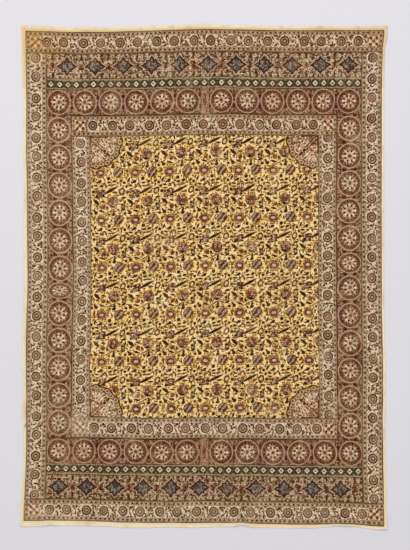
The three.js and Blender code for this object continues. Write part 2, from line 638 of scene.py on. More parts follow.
@dataclass(frozen=True)
class HemBlock(Block):
    """The unprinted margin: its running stitches, with a painted shadow line along the hem's turned fold
    and painted shade along its outer edge.
    """

    title = "Hem"
    stitch_pitch: float = 7.0
    stitch: Rim = Rim(2.1, 0.5)
    stitch_line: Ring = Ring(6.6, 0.6, 0.4)
    # A painted shadow line where the turned hem steps down to the cloth.
    fold_shadow_line: Ring = Ring(9.4, 0.9, 1.0)
    # Painted shade along the hem's outer edge.
    painted_edge_shade: Rim = Rim(5.0, 3.0)
    print_edge: Rim = Rim(11.0, 2.0)
    soiling: Uneven = Uneven(0.02, 2.0, 0.4, 0.7, 0.0, 0.4)

    def carve(self, place: Place) -> dict[Ink, Signal]:
        """Draws the hem's stitches, its painted shadow line along the turned fold and its painted shade
        along the outer edge.

        Args:
            place: The distance along the edge and from it.

        Returns:
            Masks of the inks that it holds.
        """
        along, away = place.parts()
        stitch = abs(along.wrapped(self.stitch_pitch)).below(*self.stitch) * away.near(*self.stitch_line)
        # The fold line and the edge band are painted shade; the stitches, the print's edge and the
        # soiling are the cloth's own.
        wash = strongest(
            (away.near(*self.fold_shadow_line), 0.6), (stitch, 0.45),
            (away.above(*self.print_edge), 0.5), (away.below(*self.painted_edge_shade), 0.17),
        )
        return {Ink.WASH: wash.greater(place.uneven(self.soiling))}


@dataclass(frozen=True)
class SmallBlock(Block):
    """The narrow border of small ringed rosettes in pairs, between two dotted guard stripes."""

    title = "Small rosette block"
    disc: Rim = Rim(18.2, 0.6)
    outer_ring: Ring = Ring(15.4, 2.5, 0.7)
    inner_ring: Ring = Ring(7.0, 2.1, 0.6)
    light_ring: Ring = Ring(10.8, 1.5, 0.6)
    eye: Rim = Rim(2.7, 0.6)
    halo: Ring = Ring(20.4, 2.2, 0.6)
    calm: Rim = Rim(2.4, 0.8)
    wear: Uneven = Uneven(0.016, 1.0, 0.4, 0.6, 0.48, 1.0)
    ground: Speckles = Speckles(5.8, 7.2, 4.6, 3.0, 0.52)
    guard: GuardStripe = GuardStripe()

    def carve(self, place: Place) -> dict[Ink, Signal]:
        """Draws one repeat of the border and its guards.

        Args:
            place: The place on the block.

        Returns:
            Masks of the inks that it holds.
        """
        cell = (SMALL_PERIOD, FAR)
        along, across = place.parts()
        second = place.repeated(-SMALL_GAP, 0.0, cell)
        reach = place.wrapped(*cell).reach().lesser(second.reach())
        disc = reach.below(*self.disc)
        loose = disc.rest()
        rings = strongest((reach.near(*self.outer_ring), 0.88), (reach.near(*self.inner_ring), 0.8))
        rings = rings * place.uneven(self.wear)
        lights = strongest((reach.near(*self.light_ring), 0.24), (reach.below(*self.eye), 0.6))
        halo = reach.near(*self.halo)
        leaf = place.leaves(SMALL_LEAVES, cell)
        calm = leaf.above(*self.calm) * 0.7 + 0.3
        strokes = place.leaves(SMALL_STROKES, cell).lesser(place.dots(SMALL_DOTS, cell)).below(*CUT)
        dark, light = place.speckles(self.ground)
        pale = strongest((leaf.below(*CUT), 0.95), (light * calm, 0.95), (halo, 0.5))
        pale = (pale * strokes.spare(0.8) * loose).greater(lights)
        black = strongest((strokes, 0.95), (dark * calm * halo.spare(0.5), 0.95)) * loose
        black = black.greater(rings).greater(dark * disc * 0.3) * pale.spare(0.6)
        red = strongest((disc, 0.55), (black, 0.4)).greater(0.14) * pale.spare(0.8)
        inner = {Ink.WASH: pale.spare(0.95), Ink.RED: red, Ink.BLACK: black}
        return self.guard.beside(inner, place, along, abs(across))


@dataclass(frozen=True)
class FlowerBlock(Block):
    """The corner square of a rosette border: one flower, with the guards turning round it."""

    title = "Corner flower block"
    petal: Leaf = Leaf(11.2, 10.6, 12.0, 9.6, 45)
    petal_rim: Rim = Rim(1.0, 0.14)
    heart: Rim = Rim(6.2, 0.9)
    bud_at: float = 13.0
    bud: Rim = Rim(5.6, 0.8)
    wear: Uneven = Uneven(0.09, 1.0, 0.4, 0.6, 0.25, 0.8)
    ground: Speckles = Speckles(7.2, 9.0, 5.4, 5.0, 0.5)
    guard: GuardStripe = GuardStripe(red_share=0.5)

    def carve(self, place: Place) -> dict[Ink, Signal]:
        """Draws the flower and the guards outside it.

        Args:
            place: The place on the block, positive outwards.

        Returns:
            Masks of the inks that it holds.
        """
        x, y = place.parts()
        fold = place.folded()
        petals = fold.within(self.petal).reach().below(*self.petal_rim)
        heart = place.reach().below(*self.heart)
        buds = fold.shifted(self.bud_at, 0.0).reach().lesser(fold.shifted(0.0, self.bud_at).reach())
        buds = buds.below(*self.bud)
        dark, light = place.speckles(self.ground)
        bloom = petals.greater(heart)
        bare = bloom.rest()
        pale = strongest((buds, 0.8), (light * bare, 0.85))
        black = strongest(
            (petals * heart.rest() * place.uneven(self.wear), 1.0), (heart, 0.2),
            (dark * bare * buds.spare(0.7), 0.75),
        )
        inner = {
            Ink.WASH: pale.spare(0.9),
            Ink.RED: bloom.greater(0.15) * pale.spare(0.7),
            Ink.BLACK: black,
        }
        return self.guard.beside(inner, place, x.lesser(y), x.greater(y))


@dataclass(frozen=True)
class LozengeBlock(Block):
    """The wide band of pointed lozenges with red rosettes between them.

    The lozenge's own lines are measured in its size, and the rest in millimetres.
    """

    title = "Lozenge block"
    long_arms: tuple[float, float] = (37.0, 24.0)
    tall_arms: tuple[float, float] = (23.5, 34.0)
    slant_arms: tuple[float, float] = (39.6, 30.0)
    notch_pitch: float = 9.0
    notch_depth: float = 0.026
    core: Rim = Rim(0.2, 0.06)
    heart: Ring = Ring(0.46, 0.1, 0.06)
    fill: Rim = Rim(0.86, 0.04)
    outline: Ring = Ring(0.98, 0.14, 0.03)
    blush: Ring = Ring(1.06, 0.08, 0.04)
    outside: Rim = Rim(1.12, 0.03)
    rim: Ring = Ring(1.25, 0.075, 0.04)
    hairline: Ring = Ring(1.4, 0.06, 0.04)
    petal_at: float = 7.0
    petal: Rim = Rim(4.4, 0.8)
    pip_at: tuple[float, float] = (4.0, 8.5)
    pip: Rim = Rim(3.4, 0.8)
    flower: Rim = Rim(13.0, 2.0)
    bar: Rim = Rim(2.4, 0.5)
    bar_end: Rim = Rim(8.0, 0.8)
    bar_blush: Rim = Rim(12.0, 2.0)
    edge_bar: Rim = Rim(2.9, 0.5)
    edge_bar_start: Rim = Rim(24.0, 0.8)
    leaf_edge: Ring = Ring(1.3, 0.28, 0.12)
    blob: Rim = Rim(1.0, 0.25)
    band_edge: Rim = Rim(44.8, 0.5)
    ground: Speckles = Speckles(6.6, 8.2, 5.4, 23.0, 0.56)

    def carve(self, place: Place) -> dict[Ink, Signal]:
        """Draws one lozenge and half of each neighbour.

        Args:
            place: The place on the block.

        Returns:
            Masks of the inks that it holds.
        """
        fold = place.wrapped(LOZENGE_PITCH, FAR).folded()
        a, b = fold.parts()
        slant = a - b
        star = diamond(a, b, self.long_arms).lesser(diamond(a, b, self.tall_arms))
        star = star.lesser(diamond(a + b, abs(slant), self.slant_arms))
        star = star + abs(slant.wrapped(self.notch_pitch)) * self.notch_depth
        fill = star.below(*self.fill)
        outline = star.near(*self.outline)
        rim = star.near(*self.rim)
        beside = a.rest(LOZENGE_PITCH / 2)
        petal = span(beside - self.petal_at, b).below(*self.petal)
        pip = span(beside - self.pip_at[0], b - self.pip_at[1]).below(*self.pip)
        bar = beside.below(*self.bar) * b.below(*self.bar_end)
        bar = bar.greater(beside.below(*self.edge_bar) * b.above(*self.edge_bar_start))
        leaf = fold.leaves(LOZENGE_LEAVES, (FAR, FAR))
        leaves = leaf.below(*CUT)
        blobs = fold.leaves(LOZENGE_BLOBS, (FAR, FAR)).below(*self.blob)
        dark, light = place.speckles(self.ground)
        loose = star.above(*self.outside) * rim.spare(0.8) * petal.rest()
        pale = strongest(
            (rim, 0.82), (leaves * loose, 0.44), (petal, 0.25), (light * loose, 0.95),
            (light * fill, 0.5), (star.near(*self.heart), 0.2),
        )
        black = strongest(
            (outline, 0.92), (star.near(*self.hairline), 0.45), (star.below(*self.core), 0.5),
            (blobs * loose, 0.78), (bar, 0.86), (pip, 0.32),
            (dark * loose * leaves.spare(0.6), 0.92), (dark * fill, 0.85),
            (leaf.near(*self.leaf_edge) * loose, 0.5), (loose, 0.1),
            (b.above(*self.band_edge), 0.65),
        )
        red = strongest(
            (outline, 0.75), (petal, 0.95), (pip, 0.9), (rim, 0.5), (loose, 0.16),
            (span(beside, b).below(*self.flower), 0.74), (bar * b.below(*self.bar_blush), 0.7),
            (star.near(*self.blush), 0.4),
        )
        return {
            Ink.WASH: pale.spare(0.9),
            Ink.RED: red * pale.spare(0.5),
            Ink.BLUE: fill * 0.82 * pale.spare(0.7),
            Ink.BLACK: black,
        }


@dataclass(frozen=True)
class DiamondBlock(Block):
    """The narrow strip of cream diamonds on a dark ground, with its edging lines."""

    title = "Diamond block"
    diamond_half: tuple[float, float] = (10.0, 11.0)
    diamond_rim: Rim = Rim(1.0, 0.08)
    spot: Rim = Rim(3.7, 0.7)
    notch_at: float = 15.0
    notch_half: tuple[float, float] = (9.5, 6.5)
    notch_rim: Rim = Rim(1.0, 0.12)
    waist: Rim = Rim(3.2, 1.2)
    strip: Rim = Rim(14.6, 0.5)
    tint: tuple[float, float] = (0.035, 0.0)
    paling: tuple[float, float, float, float] = (0.36, 0.62, 0.5, 0.8)
    reddening: tuple[float, float, float, float] = (0.45, 0.6, 0.3, 0.0)
    ground: Speckles = Speckles(6.8, 8.0, 5.0, 47.0, 0.5)

    def carve(self, place: Place) -> dict[Ink, Signal]:
        """Draws one diamond and the lines beside the strip.

        Args:
            place: The place on the block.

        Returns:
            Masks of the inks that it holds.
        """
        fold = place.wrapped(DIAMOND_PITCH, FAR).folded()
        a, b = fold.parts()
        body = diamond(a, b, self.diamond_half).below(*self.diamond_rim)
        spot = fold.reach().below(*self.spot)
        gap = a.rest(DIAMOND_PITCH / 2)
        notch = diamond(gap, abs(b - self.notch_at), self.notch_half).below(*self.notch_rim)
        strip = b.below(*self.strip)
        beside = strip.rest()
        dark, light = place.speckles(self.ground)
        ground = strip * body.rest()
        grey = ground * (b.below(*self.waist) * 0.15).greater(notch)
        tint = place.blotch(*self.tint)
        shown = body * strip * tint.step(*self.paling)
        pale = strongest((shown, 1.0), (light * beside, 0.4), (light * grey, 0.45))
        black = strongest(
            (ground * grey.spare(0.95), 0.8), (spot, 0.66), (beside * (dark * 0.5 + 0.08), 1.0),
            (dark * grey, 0.55),
        )
        return {
            Ink.WASH: pale.rest(),
            Ink.RED: strongest((spot, 0.5), (beside, 0.2), (body * tint.step(*self.reddening), 1.0)),
            Ink.BLUE: strongest((grey, 0.7), (ground, 0.5), (light * beside, 0.3)),
            Ink.BLACK: black,
        }


@dataclass(frozen=True)
class MedallionBlock(Block):
    """The wide border of large ringed rosettes, with spandrels between them."""

    title = "Medallion block"
    petals: int = 8
    lobe_depth: float = 1.5
    heart: Rim = Rim(6.4, 0.8)
    glow: Rim = Rim(12.0, 2.0)
    vein: Ring = Ring(11.0, 3.4, 0.6)
    vein_half: Rim = Rim(1.2, 0.5)
    hole_at: float = 19.2
    hole_long: float = 4.3
    hole_wide: float = 3.9
    hole_rim: Rim = Rim(1.0, 0.3)
    flower: Rim = Rim(25.8, 0.8)
    notch: Ring = Ring(25.6, 1.7, 0.5)
    notch_half: Rim = Rim(1.6, 0.5)
    fringe: Ring = Ring(28.8, 3.2, 0.7)
    fringe_gap: Rim = Rim(-0.25, 0.4)
    specks: Ring = Ring(32.6, 2.2, 0.7)
    speck_gap: Rim = Rim(0.1, 0.4)
    ring: Ring = Ring(44.0, 1.9, 0.5)
    edge: Rim = Rim(45.4, 0.5)
    berry_at: float = 35.0
    berry: Rim = Rim(5.0, 0.8)
    berry_ring: Ring = Ring(7.4, 1.3, 0.5)
    leaf_at: tuple[float, float] = (1.5, 20.0)
    leaf_half: tuple[float, float] = (4.0, 9.5)
    filler: Rim = Rim(49.5, 0.5)
    sprig_half: tuple[float, float] = (26.0, 31.0)
    sprig_rim: Rim = Rim(1.0, 0.1)
    rib: Ring = Ring(1.3, 0.24, 0.1)
    patches: Uneven = Uneven(0.05, 1.0, 0.38, 0.62, 0.0, 1.0)
    ground: Speckles = Speckles(6.8, 8.4, 5.2, 7.0, 0.56)

    def carve(self, place: Place) -> dict[Ink, Signal]:
        """Draws one rosette, half of each spandrel, and the narrow filler of the two rows.

        Args:
            place: The place on the block.

        Returns:
            Masks of the inks that it holds.
        """
        cell = place.wrapped(MEDALLION_PITCH, FAR)
        u, v = cell.parts()
        reach = cell.reach()
        angle = bearing(v, u)
        half_petal = math.pi / self.petals
        between = compute(place.tree, "PINGPONG", angle, half_petal).rest(half_petal)
        gap_x = reach * between.cosine()
        gap_y = reach * between.sine()
        flower = (reach - (angle * self.petals).cosine() * self.lobe_depth).below(*self.flower)
        turns = (angle * (2 * self.petals)).cosine()
        fringe = reach.near(*self.fringe) * turns.above(*self.fringe_gap)
        specks = reach.near(*self.specks) * turns.below(*self.speck_gap)
        hole_off = gap_y / self.hole_wide
        hole = bulge((gap_x - self.hole_at) / self.hole_long, hole_off * hole_off).below(*self.hole_rim)
        vein = gap_y.below(*self.vein_half) * reach.near(*self.vein)
        notch = gap_y.below(*self.notch_half) * reach.near(*self.notch)
        heart = reach.below(*self.heart)
        ring = reach.near(*self.ring)
        inside = reach.below(self.ring.middle - self.ring.half, self.ring.soft)
        outside = reach.above(self.ring.middle + self.ring.half, self.ring.soft)
        beside = abs(u).rest(MEDALLION_PITCH / 2)
        high = abs(v)
        berry = span(beside, high - self.berry_at)
        leaf_off = abs(beside - self.leaf_at[0]) / self.leaf_half[0]
        leaf = bulge((high - self.leaf_at[1]) / self.leaf_half[1], leaf_off).below(*CUT)
        dark, light = place.speckles(self.ground)
        patch = place.uneven(self.patches)
        ground = inside * flower.rest()
        pale = strongest(
            (flower, 0.4), (flower * light, 0.9), (reach.below(*self.glow), 0.52), (fringe, 0.9),
            (ring, 0.58), (berry.near(*self.berry_ring) * outside, 0.66), (light * outside, 0.8),
            (light * ground, 0.3),
        )
        pale = pale * hole.greater(heart).greater(notch * 0.7).rest()
        black = strongest(
            (hole, 0.95), (heart, 0.42), (ground * (patch * 0.26 + 0.22), 1.0), (specks, 0.7),
            (notch, 0.6), (vein, 0.55), (dark * flower, 0.4), (dark * ground, 0.66),
            (leaf * outside, 0.9), (dark * outside, 0.9), (outside, 0.26),
            (high.above(*self.edge) * outside, 0.85),
        )
        red = strongest(
            (ground * fringe.spare(0.7), 0.88), (outside, 0.47),
            (berry.below(*self.berry) * outside, 0.95), (heart, 0.95), (ring, 0.46), (flower, 0.08),
        )
        filler = abs(place.parts()[0]).below(*self.filler)
        blank = filler.rest()
        sprig = bulge(v / self.sprig_half[1], abs(u) / self.sprig_half[0])
        pale = pale * blank + strongest((sprig.near(*self.rib), 0.5), (light, 0.4)) * filler
        red = red * blank + (sprig.below(*self.sprig_rim) * 0.85).greater(0.4) * filler
        return {
            Ink.WASH: pale.spare(0.9),
            Ink.RED: red * pale.spare(0.5),
            Ink.BLUE: strongest((outside * patch, 0.24), (patch * ground, 0.2), (ring, 0.18)),
            Ink.BLACK: (black * blank).greater(filler * dark * 0.7),
        }


@dataclass(frozen=True)
class FieldBlock(Block):
    """The large flowered block that fills the middle of the panel."""

    title = "Field block"
    daisy: Rim = Rim(20.0, 0.9)
    daisy_rays: float = 11.0
    daisy_depth: float = 1.2
    daisy_gap: Rim = Rim(-0.4, 0.3)
    daisy_ring: Leaf = Leaf(0.0, -0.5, 28.0, 23.6, 0)
    daisy_heart: Leaf = Leaf(0.0, -0.5, 17.2, 11.2, 0)
    heart_wear: Uneven = Uneven(0.03, 1.0, 0.4, 0.6, 0.9, 1.0)
    lotus: Leaf = Leaf(64.4, 1.1, 41.0, 36.0, 52)
    lotus_rim: Rim = Rim(0.97, 0.06)
    lotus_edge: Ring = Ring(0.86, 0.14, 0.05)
    lotus_stripes: float = 7.6
    lotus_waver: float = 6.0
    waver: tuple[float, float] = (0.09, 1.0)
    stripe_rim: Rim = Rim(0.0, 0.4)
    peony_at: tuple[float, float] = (44.2, 67.8)
    peony_frills: float = 10.0
    peony_depth: float = 1.4
    peony_gap: Rim = Rim(-0.5, 0.3)
    peony_skirt: Rim = Rim(21.0, 0.9)
    peony_core: Rim = Rim(15.6, 0.8)
    curl_pace: float = 0.95
    curl_rim: Rim = Rim(0.1, 0.4)
    iris_edge: Ring = Ring(0.95, 0.28, 0.1)
    iris_rim: Rim = Rim(1.0, 0.15)
    bud: Leaf = Leaf(7.4, 49.4, 17.2, 14.0, 40)
    bud_sepal: Leaf = Leaf(1.4, 55.4, 24.0, 16.0, 130)
    almond: Leaf = Leaf(77.5, 106.8, 20.0, 28.0, -28)
    almond_heart: Rim = Rim(0.56, 0.1)
    sprig: Leaf = Leaf(-45.0, 50.0, 30.0, 16.0, 82)
    sharp_rim: Rim = Rim(1.0, 0.08)
    soft_rim: Rim = Rim(1.0, 0.12)
    dark_rim: Rim = Rim(1.15, 0.3)
    brown_rim: Rim = Rim(1.2, 0.3)
    white_rim: Rim = Rim(1.0, 0.4)
    leaf_halo: Ring = Ring(2.0, 0.5, 0.3)
    leaf_clear: Rim = Rim(1.7, 0.3)
    ground: Speckles = Speckles(8.2, 10.0, 5.2, 57.0, 0.66)
    flecks: Speckles = Speckles(7.4, 9.0, 5.2, 83.0, 0.5)

    @staticmethod
    def _flower(place: Place, row: Leaf) -> Place:
        """Measures from the middle of an oval flower, in its half sizes."""
        return place.repeated(row.x, row.y, FIELD_CELL).within(row._replace(x=0.0, y=0.0))

    def carve(self, place: Place) -> dict[Ink, Signal]:
        """Draws six flowers on their stems, with leaves all round them, on a yellow ground.

        Args:
            place: The place on the block.

        Returns:
            Masks of the inks that it holds.
        """
        fine_dark, fine_light = place.speckles(self.flecks)
        daisy = place.wrapped(*FIELD_CELL)
        u, v = daisy.parts()
        ray = (bearing(v, u) * self.daisy_rays).sine()
        daisy_ring = daisy.within(self.daisy_ring).reach().below(*self.sharp_rim)
        daisy_heart = daisy.within(self.daisy_heart).reach().below(*self.soft_rim)
        daisy_petal = (daisy.reach() - ray * self.daisy_depth).below(*self.daisy)
        daisy_split = daisy_petal * ray.below(*self.daisy_gap)
        lotus = self._flower(place, self.lotus)
        lotus_reach = lotus.reach()
        waver = place.blotch(*self.waver) * self.lotus_waver
        stripe = (lotus.parts()[1] * self.lotus_stripes + waver).sine().above(*self.stripe_rim)
        lotus_body = lotus_reach.below(*self.lotus_rim)
        lotus_edge = lotus_reach.near(*self.lotus_edge)
        peony = place.repeated(*self.peony_at, FIELD_CELL)
        peony_reach = peony.reach()
        across, up = peony.parts()
        sweep = bearing(up, across)
        frill = (sweep * self.peony_frills).sine()
        peony_skirt = (peony_reach - frill * self.peony_depth).below(*self.peony_skirt)
        peony_split = peony_skirt * frill.below(*self.peony_gap)
        peony_core = peony_reach.below(*self.peony_core)
        curl = (peony_reach * self.curl_pace + sweep * 2.0).sine().above(*self.curl_rim)
        iris = place.leaves(FIELD_IRIS, FIELD_CELL)
        iris_edge = iris.near(*self.iris_edge)
        iris_body = iris.below(*self.iris_rim)
        bud_body = self._flower(place, self.bud).reach().below(*self.soft_rim)
        bud_sepal = place.leaves((self.bud_sepal,), FIELD_CELL).below(*CUT)
        almond = self._flower(place, self.almond).reach()
        almond_body = almond.below(*self.sharp_rim)
        almond_heart = almond.below(*self.almond_heart)
        sprig = self._flower(place, self.sprig).reach().below(*CUT)
        bloom = daisy_petal.greater(lotus_body).greater(peony_skirt).greater(iris_body)
        bloom = bloom.greater(bud_body).greater(almond_body)
        loose = bloom.rest()
        flecked = peony_core.greater(iris_body)
        dark_leaf = place.leaves(FIELD_DARK, FIELD_CELL)
        olive_leaf = place.leaves(FIELD_OLIVE, FIELD_CELL)
        charted = dark_leaf.lesser(olive_leaf)
        dark = dark_leaf.below(*self.dark_rim)
        olive = olive_leaf.below(*self.dark_rim)
        brown = place.leaves(FIELD_BROWN, FIELD_CELL).below(*self.brown_rim)
        white = place.leaves(FIELD_LIGHT, FIELD_CELL).below(*self.white_rim)
        small, gold = place.speckles(self.ground)
        small = small * charted.above(*self.leaf_clear) * loose
        shine = strongest((charted.near(*self.leaf_halo), 0.6), (white, 0.9), (gold, 0.75)) * loose
        pale = strongest(
            (daisy_heart * place.uneven(self.heart_wear), 1.0), (lotus_body * stripe, 0.68),
            (almond_heart, 0.74), (peony_core * curl.rest(), 0.24), (fine_light * flecked, 0.86),
            (fine_light * bloom, 0.4),
        )
        red = strongest(
            (daisy_petal, 0.58), (daisy_ring, 0.95), (lotus_body, 0.66), (peony_core, 0.8),
            (peony_skirt, 0.68), (iris_body, 0.4), (bud_body, 0.95), (bud_sepal, 0.45),
            (almond_body, 0.6), (brown, 0.6), (small, 0.25),
        )
        black = strongest(
            (dark, 1.0), (olive, 0.84), (brown, 0.5), (daisy_ring, 0.56), (daisy_split, 0.4),
            (lotus_edge, 0.72), (lotus_body * stripe.rest(), 0.74), (peony_core * curl, 0.42),
            (peony_split, 0.42), (iris_edge, 0.9), (bud_body, 0.5),
            (almond_body * almond_heart.rest(), 0.95), (small, 0.8), (fine_dark * bloom, 0.66),
            (fine_dark * flecked, 0.86),
        )
        blue = strongest(
            (lotus_body, 0.66), (iris_body, 0.75), (peony_core, 0.5), (daisy_ring, 0.4),
            (daisy_petal, 0.24), (peony_skirt, 0.2), (sprig, 0.4),
        )
        return {
            Ink.WASH: (pale * 0.92).greater(shine).rest(),
            Ink.RED: red * pale.spare(0.8),
            Ink.BLUE: blue * pale.spare(0.76),
            Ink.BLACK: black * pale.spare(0.95),
        }


@dataclass(frozen=True)
class FanBlock(Block):
    """The scalloped quarter fan that stands in each corner of the field."""

    title = "Corner fan block"
    cover: Rim = Rim(0.0, 0.7)
    heart: Rim = Rim(71.0, 1.0)
    middle: Ring = Ring(87.0, 15.0, 1.0)
    band: Rim = Rim(21.0, 0.8)
    band_line: Ring = Ring(21.0, 1.8, 0.5)
    rim_line: Rim = Rim(6.4, 0.8)
    corner: Rim = Rim(9.0, 0.8)
    rib: Ring = Ring(4.7, 2.0, 0.5)
    rib_end: Rim = Rim(66.0, 1.0)
    groove: Rim = Rim(2.1, 0.5)
    side_line: Ring = Ring(2.6, 2.6, 0.5)
    side_run: Ring = Ring(38.0, 30.0, 1.0)
    drop_at: float = 77.0
    drop: Rim = Rim(6.0, 0.8)
    leaf_at: float = 95.0
    leaf_half: tuple[float, float] = (11.0, 4.4)
    white_rim: Rim = Rim(1.0, 0.15)
    white_edge: Ring = Ring(1.3, 0.3, 0.1)
    bead_turn: float = math.pi / 16
    bead_radius: float = 112.0
    bead_depth: float = 12.0
    bead: Ring = Ring(6.4, 2.2, 0.5)
    bead_eye: Rim = Rim(3.0, 0.6)
    ground: Speckles = Speckles(6.6, 8.6, 4.8, 13.0, 0.52)

    def carve(self, place: Place) -> dict[Ink, Signal]:
        """Draws the fan, folded about its diagonal, and bare wash beyond its scalloped rim.

        Args:
            place: Distances from the field's corner.

        Returns:
            Masks of the inks that it holds.
        """
        tree = place.tree
        from_side, from_end = place.parts()
        reach = place.reach()
        angle = bearing(from_side, from_end)
        scallop = abs((angle * FAN_LOBES).sine())
        rim = scallop * FAN_SCALLOP + (angle * 2.0).sine() * FAN_SWELL + FAN_RADIUS
        depth = rim - reach
        cover = depth.above(*self.cover)
        beyond = cover.rest()
        p = from_side.greater(from_end)
        q = from_side.lesser(from_end)
        node = tree.nodes.new("ShaderNodeCombineXYZ")
        feed(node.inputs[0], p)
        feed(node.inputs[1], q)
        fold = Place(tree, node.outputs[0])
        along = (p + q) / math.sqrt(2)
        off = (p - q) / math.sqrt(2)
        ribs = off.near(*self.rib) * along.below(*self.rib_end)
        groove = off.below(*self.groove) * along.below(*self.rib_end)
        lines = ribs.greater(q.near(*self.side_line) * p.near(*self.side_run))
        drop = span(along - self.drop_at, off).below(*self.drop)
        leaf_long, leaf_wide = self.leaf_half
        leaf = bulge((along - self.leaf_at) / leaf_long, off / leaf_wide).below(*CUT)
        white_leaf = fold.leaves(FAN_WHITE, (FAR, FAR))
        white = white_leaf.below(*self.white_rim)
        dots = fold.dots(FAN_DOTS, (FAR, FAR)).below(*CUT)
        band = depth.below(*self.band)
        middle = reach.near(*self.middle) * band.rest()
        heart = reach.below(*self.heart)
        ring = span(angle.wrapped(self.bead_turn) * self.bead_radius, depth - self.bead_depth)
        bead = ring.near(*self.bead) * band
        eye = ring.below(*self.bead_eye) * band
        dark, light = place.speckles(self.ground)
        pale = strongest(
            (white * band.rest(), 0.92), (bead, 0.7), (light * heart, 0.85), (light * middle, 0.6),
            (light * band, 0.35), (groove, 0.1),
        )
        pale = pale * lines.rest()
        red = strongest(
            (lines, 0.9), (dots, 0.75), (band, 0.7), (groove, 0.9), (heart, 0.54), (middle, 0.46)
        )
        black = strongest(
            (along.below(*self.corner), 0.85), (lines, 0.62), (drop, 0.95), (leaf, 0.9),
            (depth.below(*self.rim_line), 0.9), (depth.near(*self.band_line), 0.7), (band, 0.3),
            (eye, 0.85), (white_leaf.near(*self.white_edge) * middle, 0.85),
            (dark * groove.rest() * bead.spare(0.7), 0.94),
        )
        black = black * white.spare(0.5) * bead.spare(0.5)
        return {
            Ink.WASH: pale.spare(0.9) * 0.45 * cover + beyond,
            Ink.RED: red * pale.spare(0.75) * cover,
            Ink.BLUE: pale.spare(0.9) * 0.14 * cover,
            Ink.BLACK: black * cover + dark * beyond * 0.8,
        }


class Spot(NamedTuple):
    """One faded or stained place: its middle and radius in metres, its strength and its hue."""

    x: float
    y: float
    radius: float
    amount: float
    hue: Hue


AGE_SPOTS = (
    Spot(-0.6, 0.85, 0.14, 0.2, Hue(190, 140, 66)),
    Spot(-0.622, 0.868, 0.04, 0.26, Hue(196, 142, 70)),
    Spot(-0.62, -0.87, 0.06, 0.3, Hue(226, 202, 170)),
    Spot(-0.46, -0.55, 0.07, 0.34, Hue(212, 198, 176)),
    Spot(-0.653, -0.5466, 0.013, 0.6, Hue(104, 94, 58)),
    Spot(-0.13, 0.13, 0.05, 0.24, Hue(238, 216, 176)),
    Spot(-0.16, -0.1, 0.045, 0.2, Hue(238, 216, 176)),
)


# A spot is even over this share of its radius, and fades from there.
SPOT_CORE = 0.2
# Soft patches all over the cloth: pale ones, brown ones, and small rubbed ones.
AGE_PATCHES = (
    (Uneven(13.0, 3.0, 0.54, 0.72, 0.0, 0.22), Hue(238, 218, 176)),
    (Uneven(5.0, 3.0, 0.5, 0.7, 0.0, 0.16), Hue(150, 116, 78)),
    (Uneven(90.0, 3.0, 0.59, 0.73, 0.0, 0.3), Hue(236, 214, 170)),
)


class Waver(NamedTuple):
    """A waver of the printer's hand: the scale and detail of its noise, and how far it reaches."""

    scale: float
    detail: float
    reach: float


HAND_WAVERS = (Waver(9.0, 1.0, 7.0), Waver(140.0, 2.0, 3.0))
# Noise of the dye on the cloth: the grain of the threads, the press of the block, the red's fading.
THREAD_GRAIN = Uneven(330.0, 2.0, 0.3, 0.6, 0.84, 1.0)
BLOCK_PRESS = Uneven(11.0, 2.0, 0.3, 0.65, 0.86, 1.0)
RED_FADING = Uneven(9.0, 1.0, 0.36, 0.62, 0.72, 1.06)
# Black dye fades less than the others, by this factor.
BLACK_HOLD = 1.16
# The weave, in metres: the threads' pitch and height, and the long thick places of warp and weft.
THREAD_PITCH = 0.0009
THREAD_HEIGHT = 0.35
WARP_SLUB = Leaf(0.0, 0.0, 0.0022, 0.06, 0)
WEFT_SLUB = Leaf(0.0, 0.0, 0.06, 0.0022, 0)
SLUB_SHADE = (0.7, 1.3, 0.94, 1.05)
SLUB_ROUGHNESS = (0.7, 1.3, 0.84, 0.95)


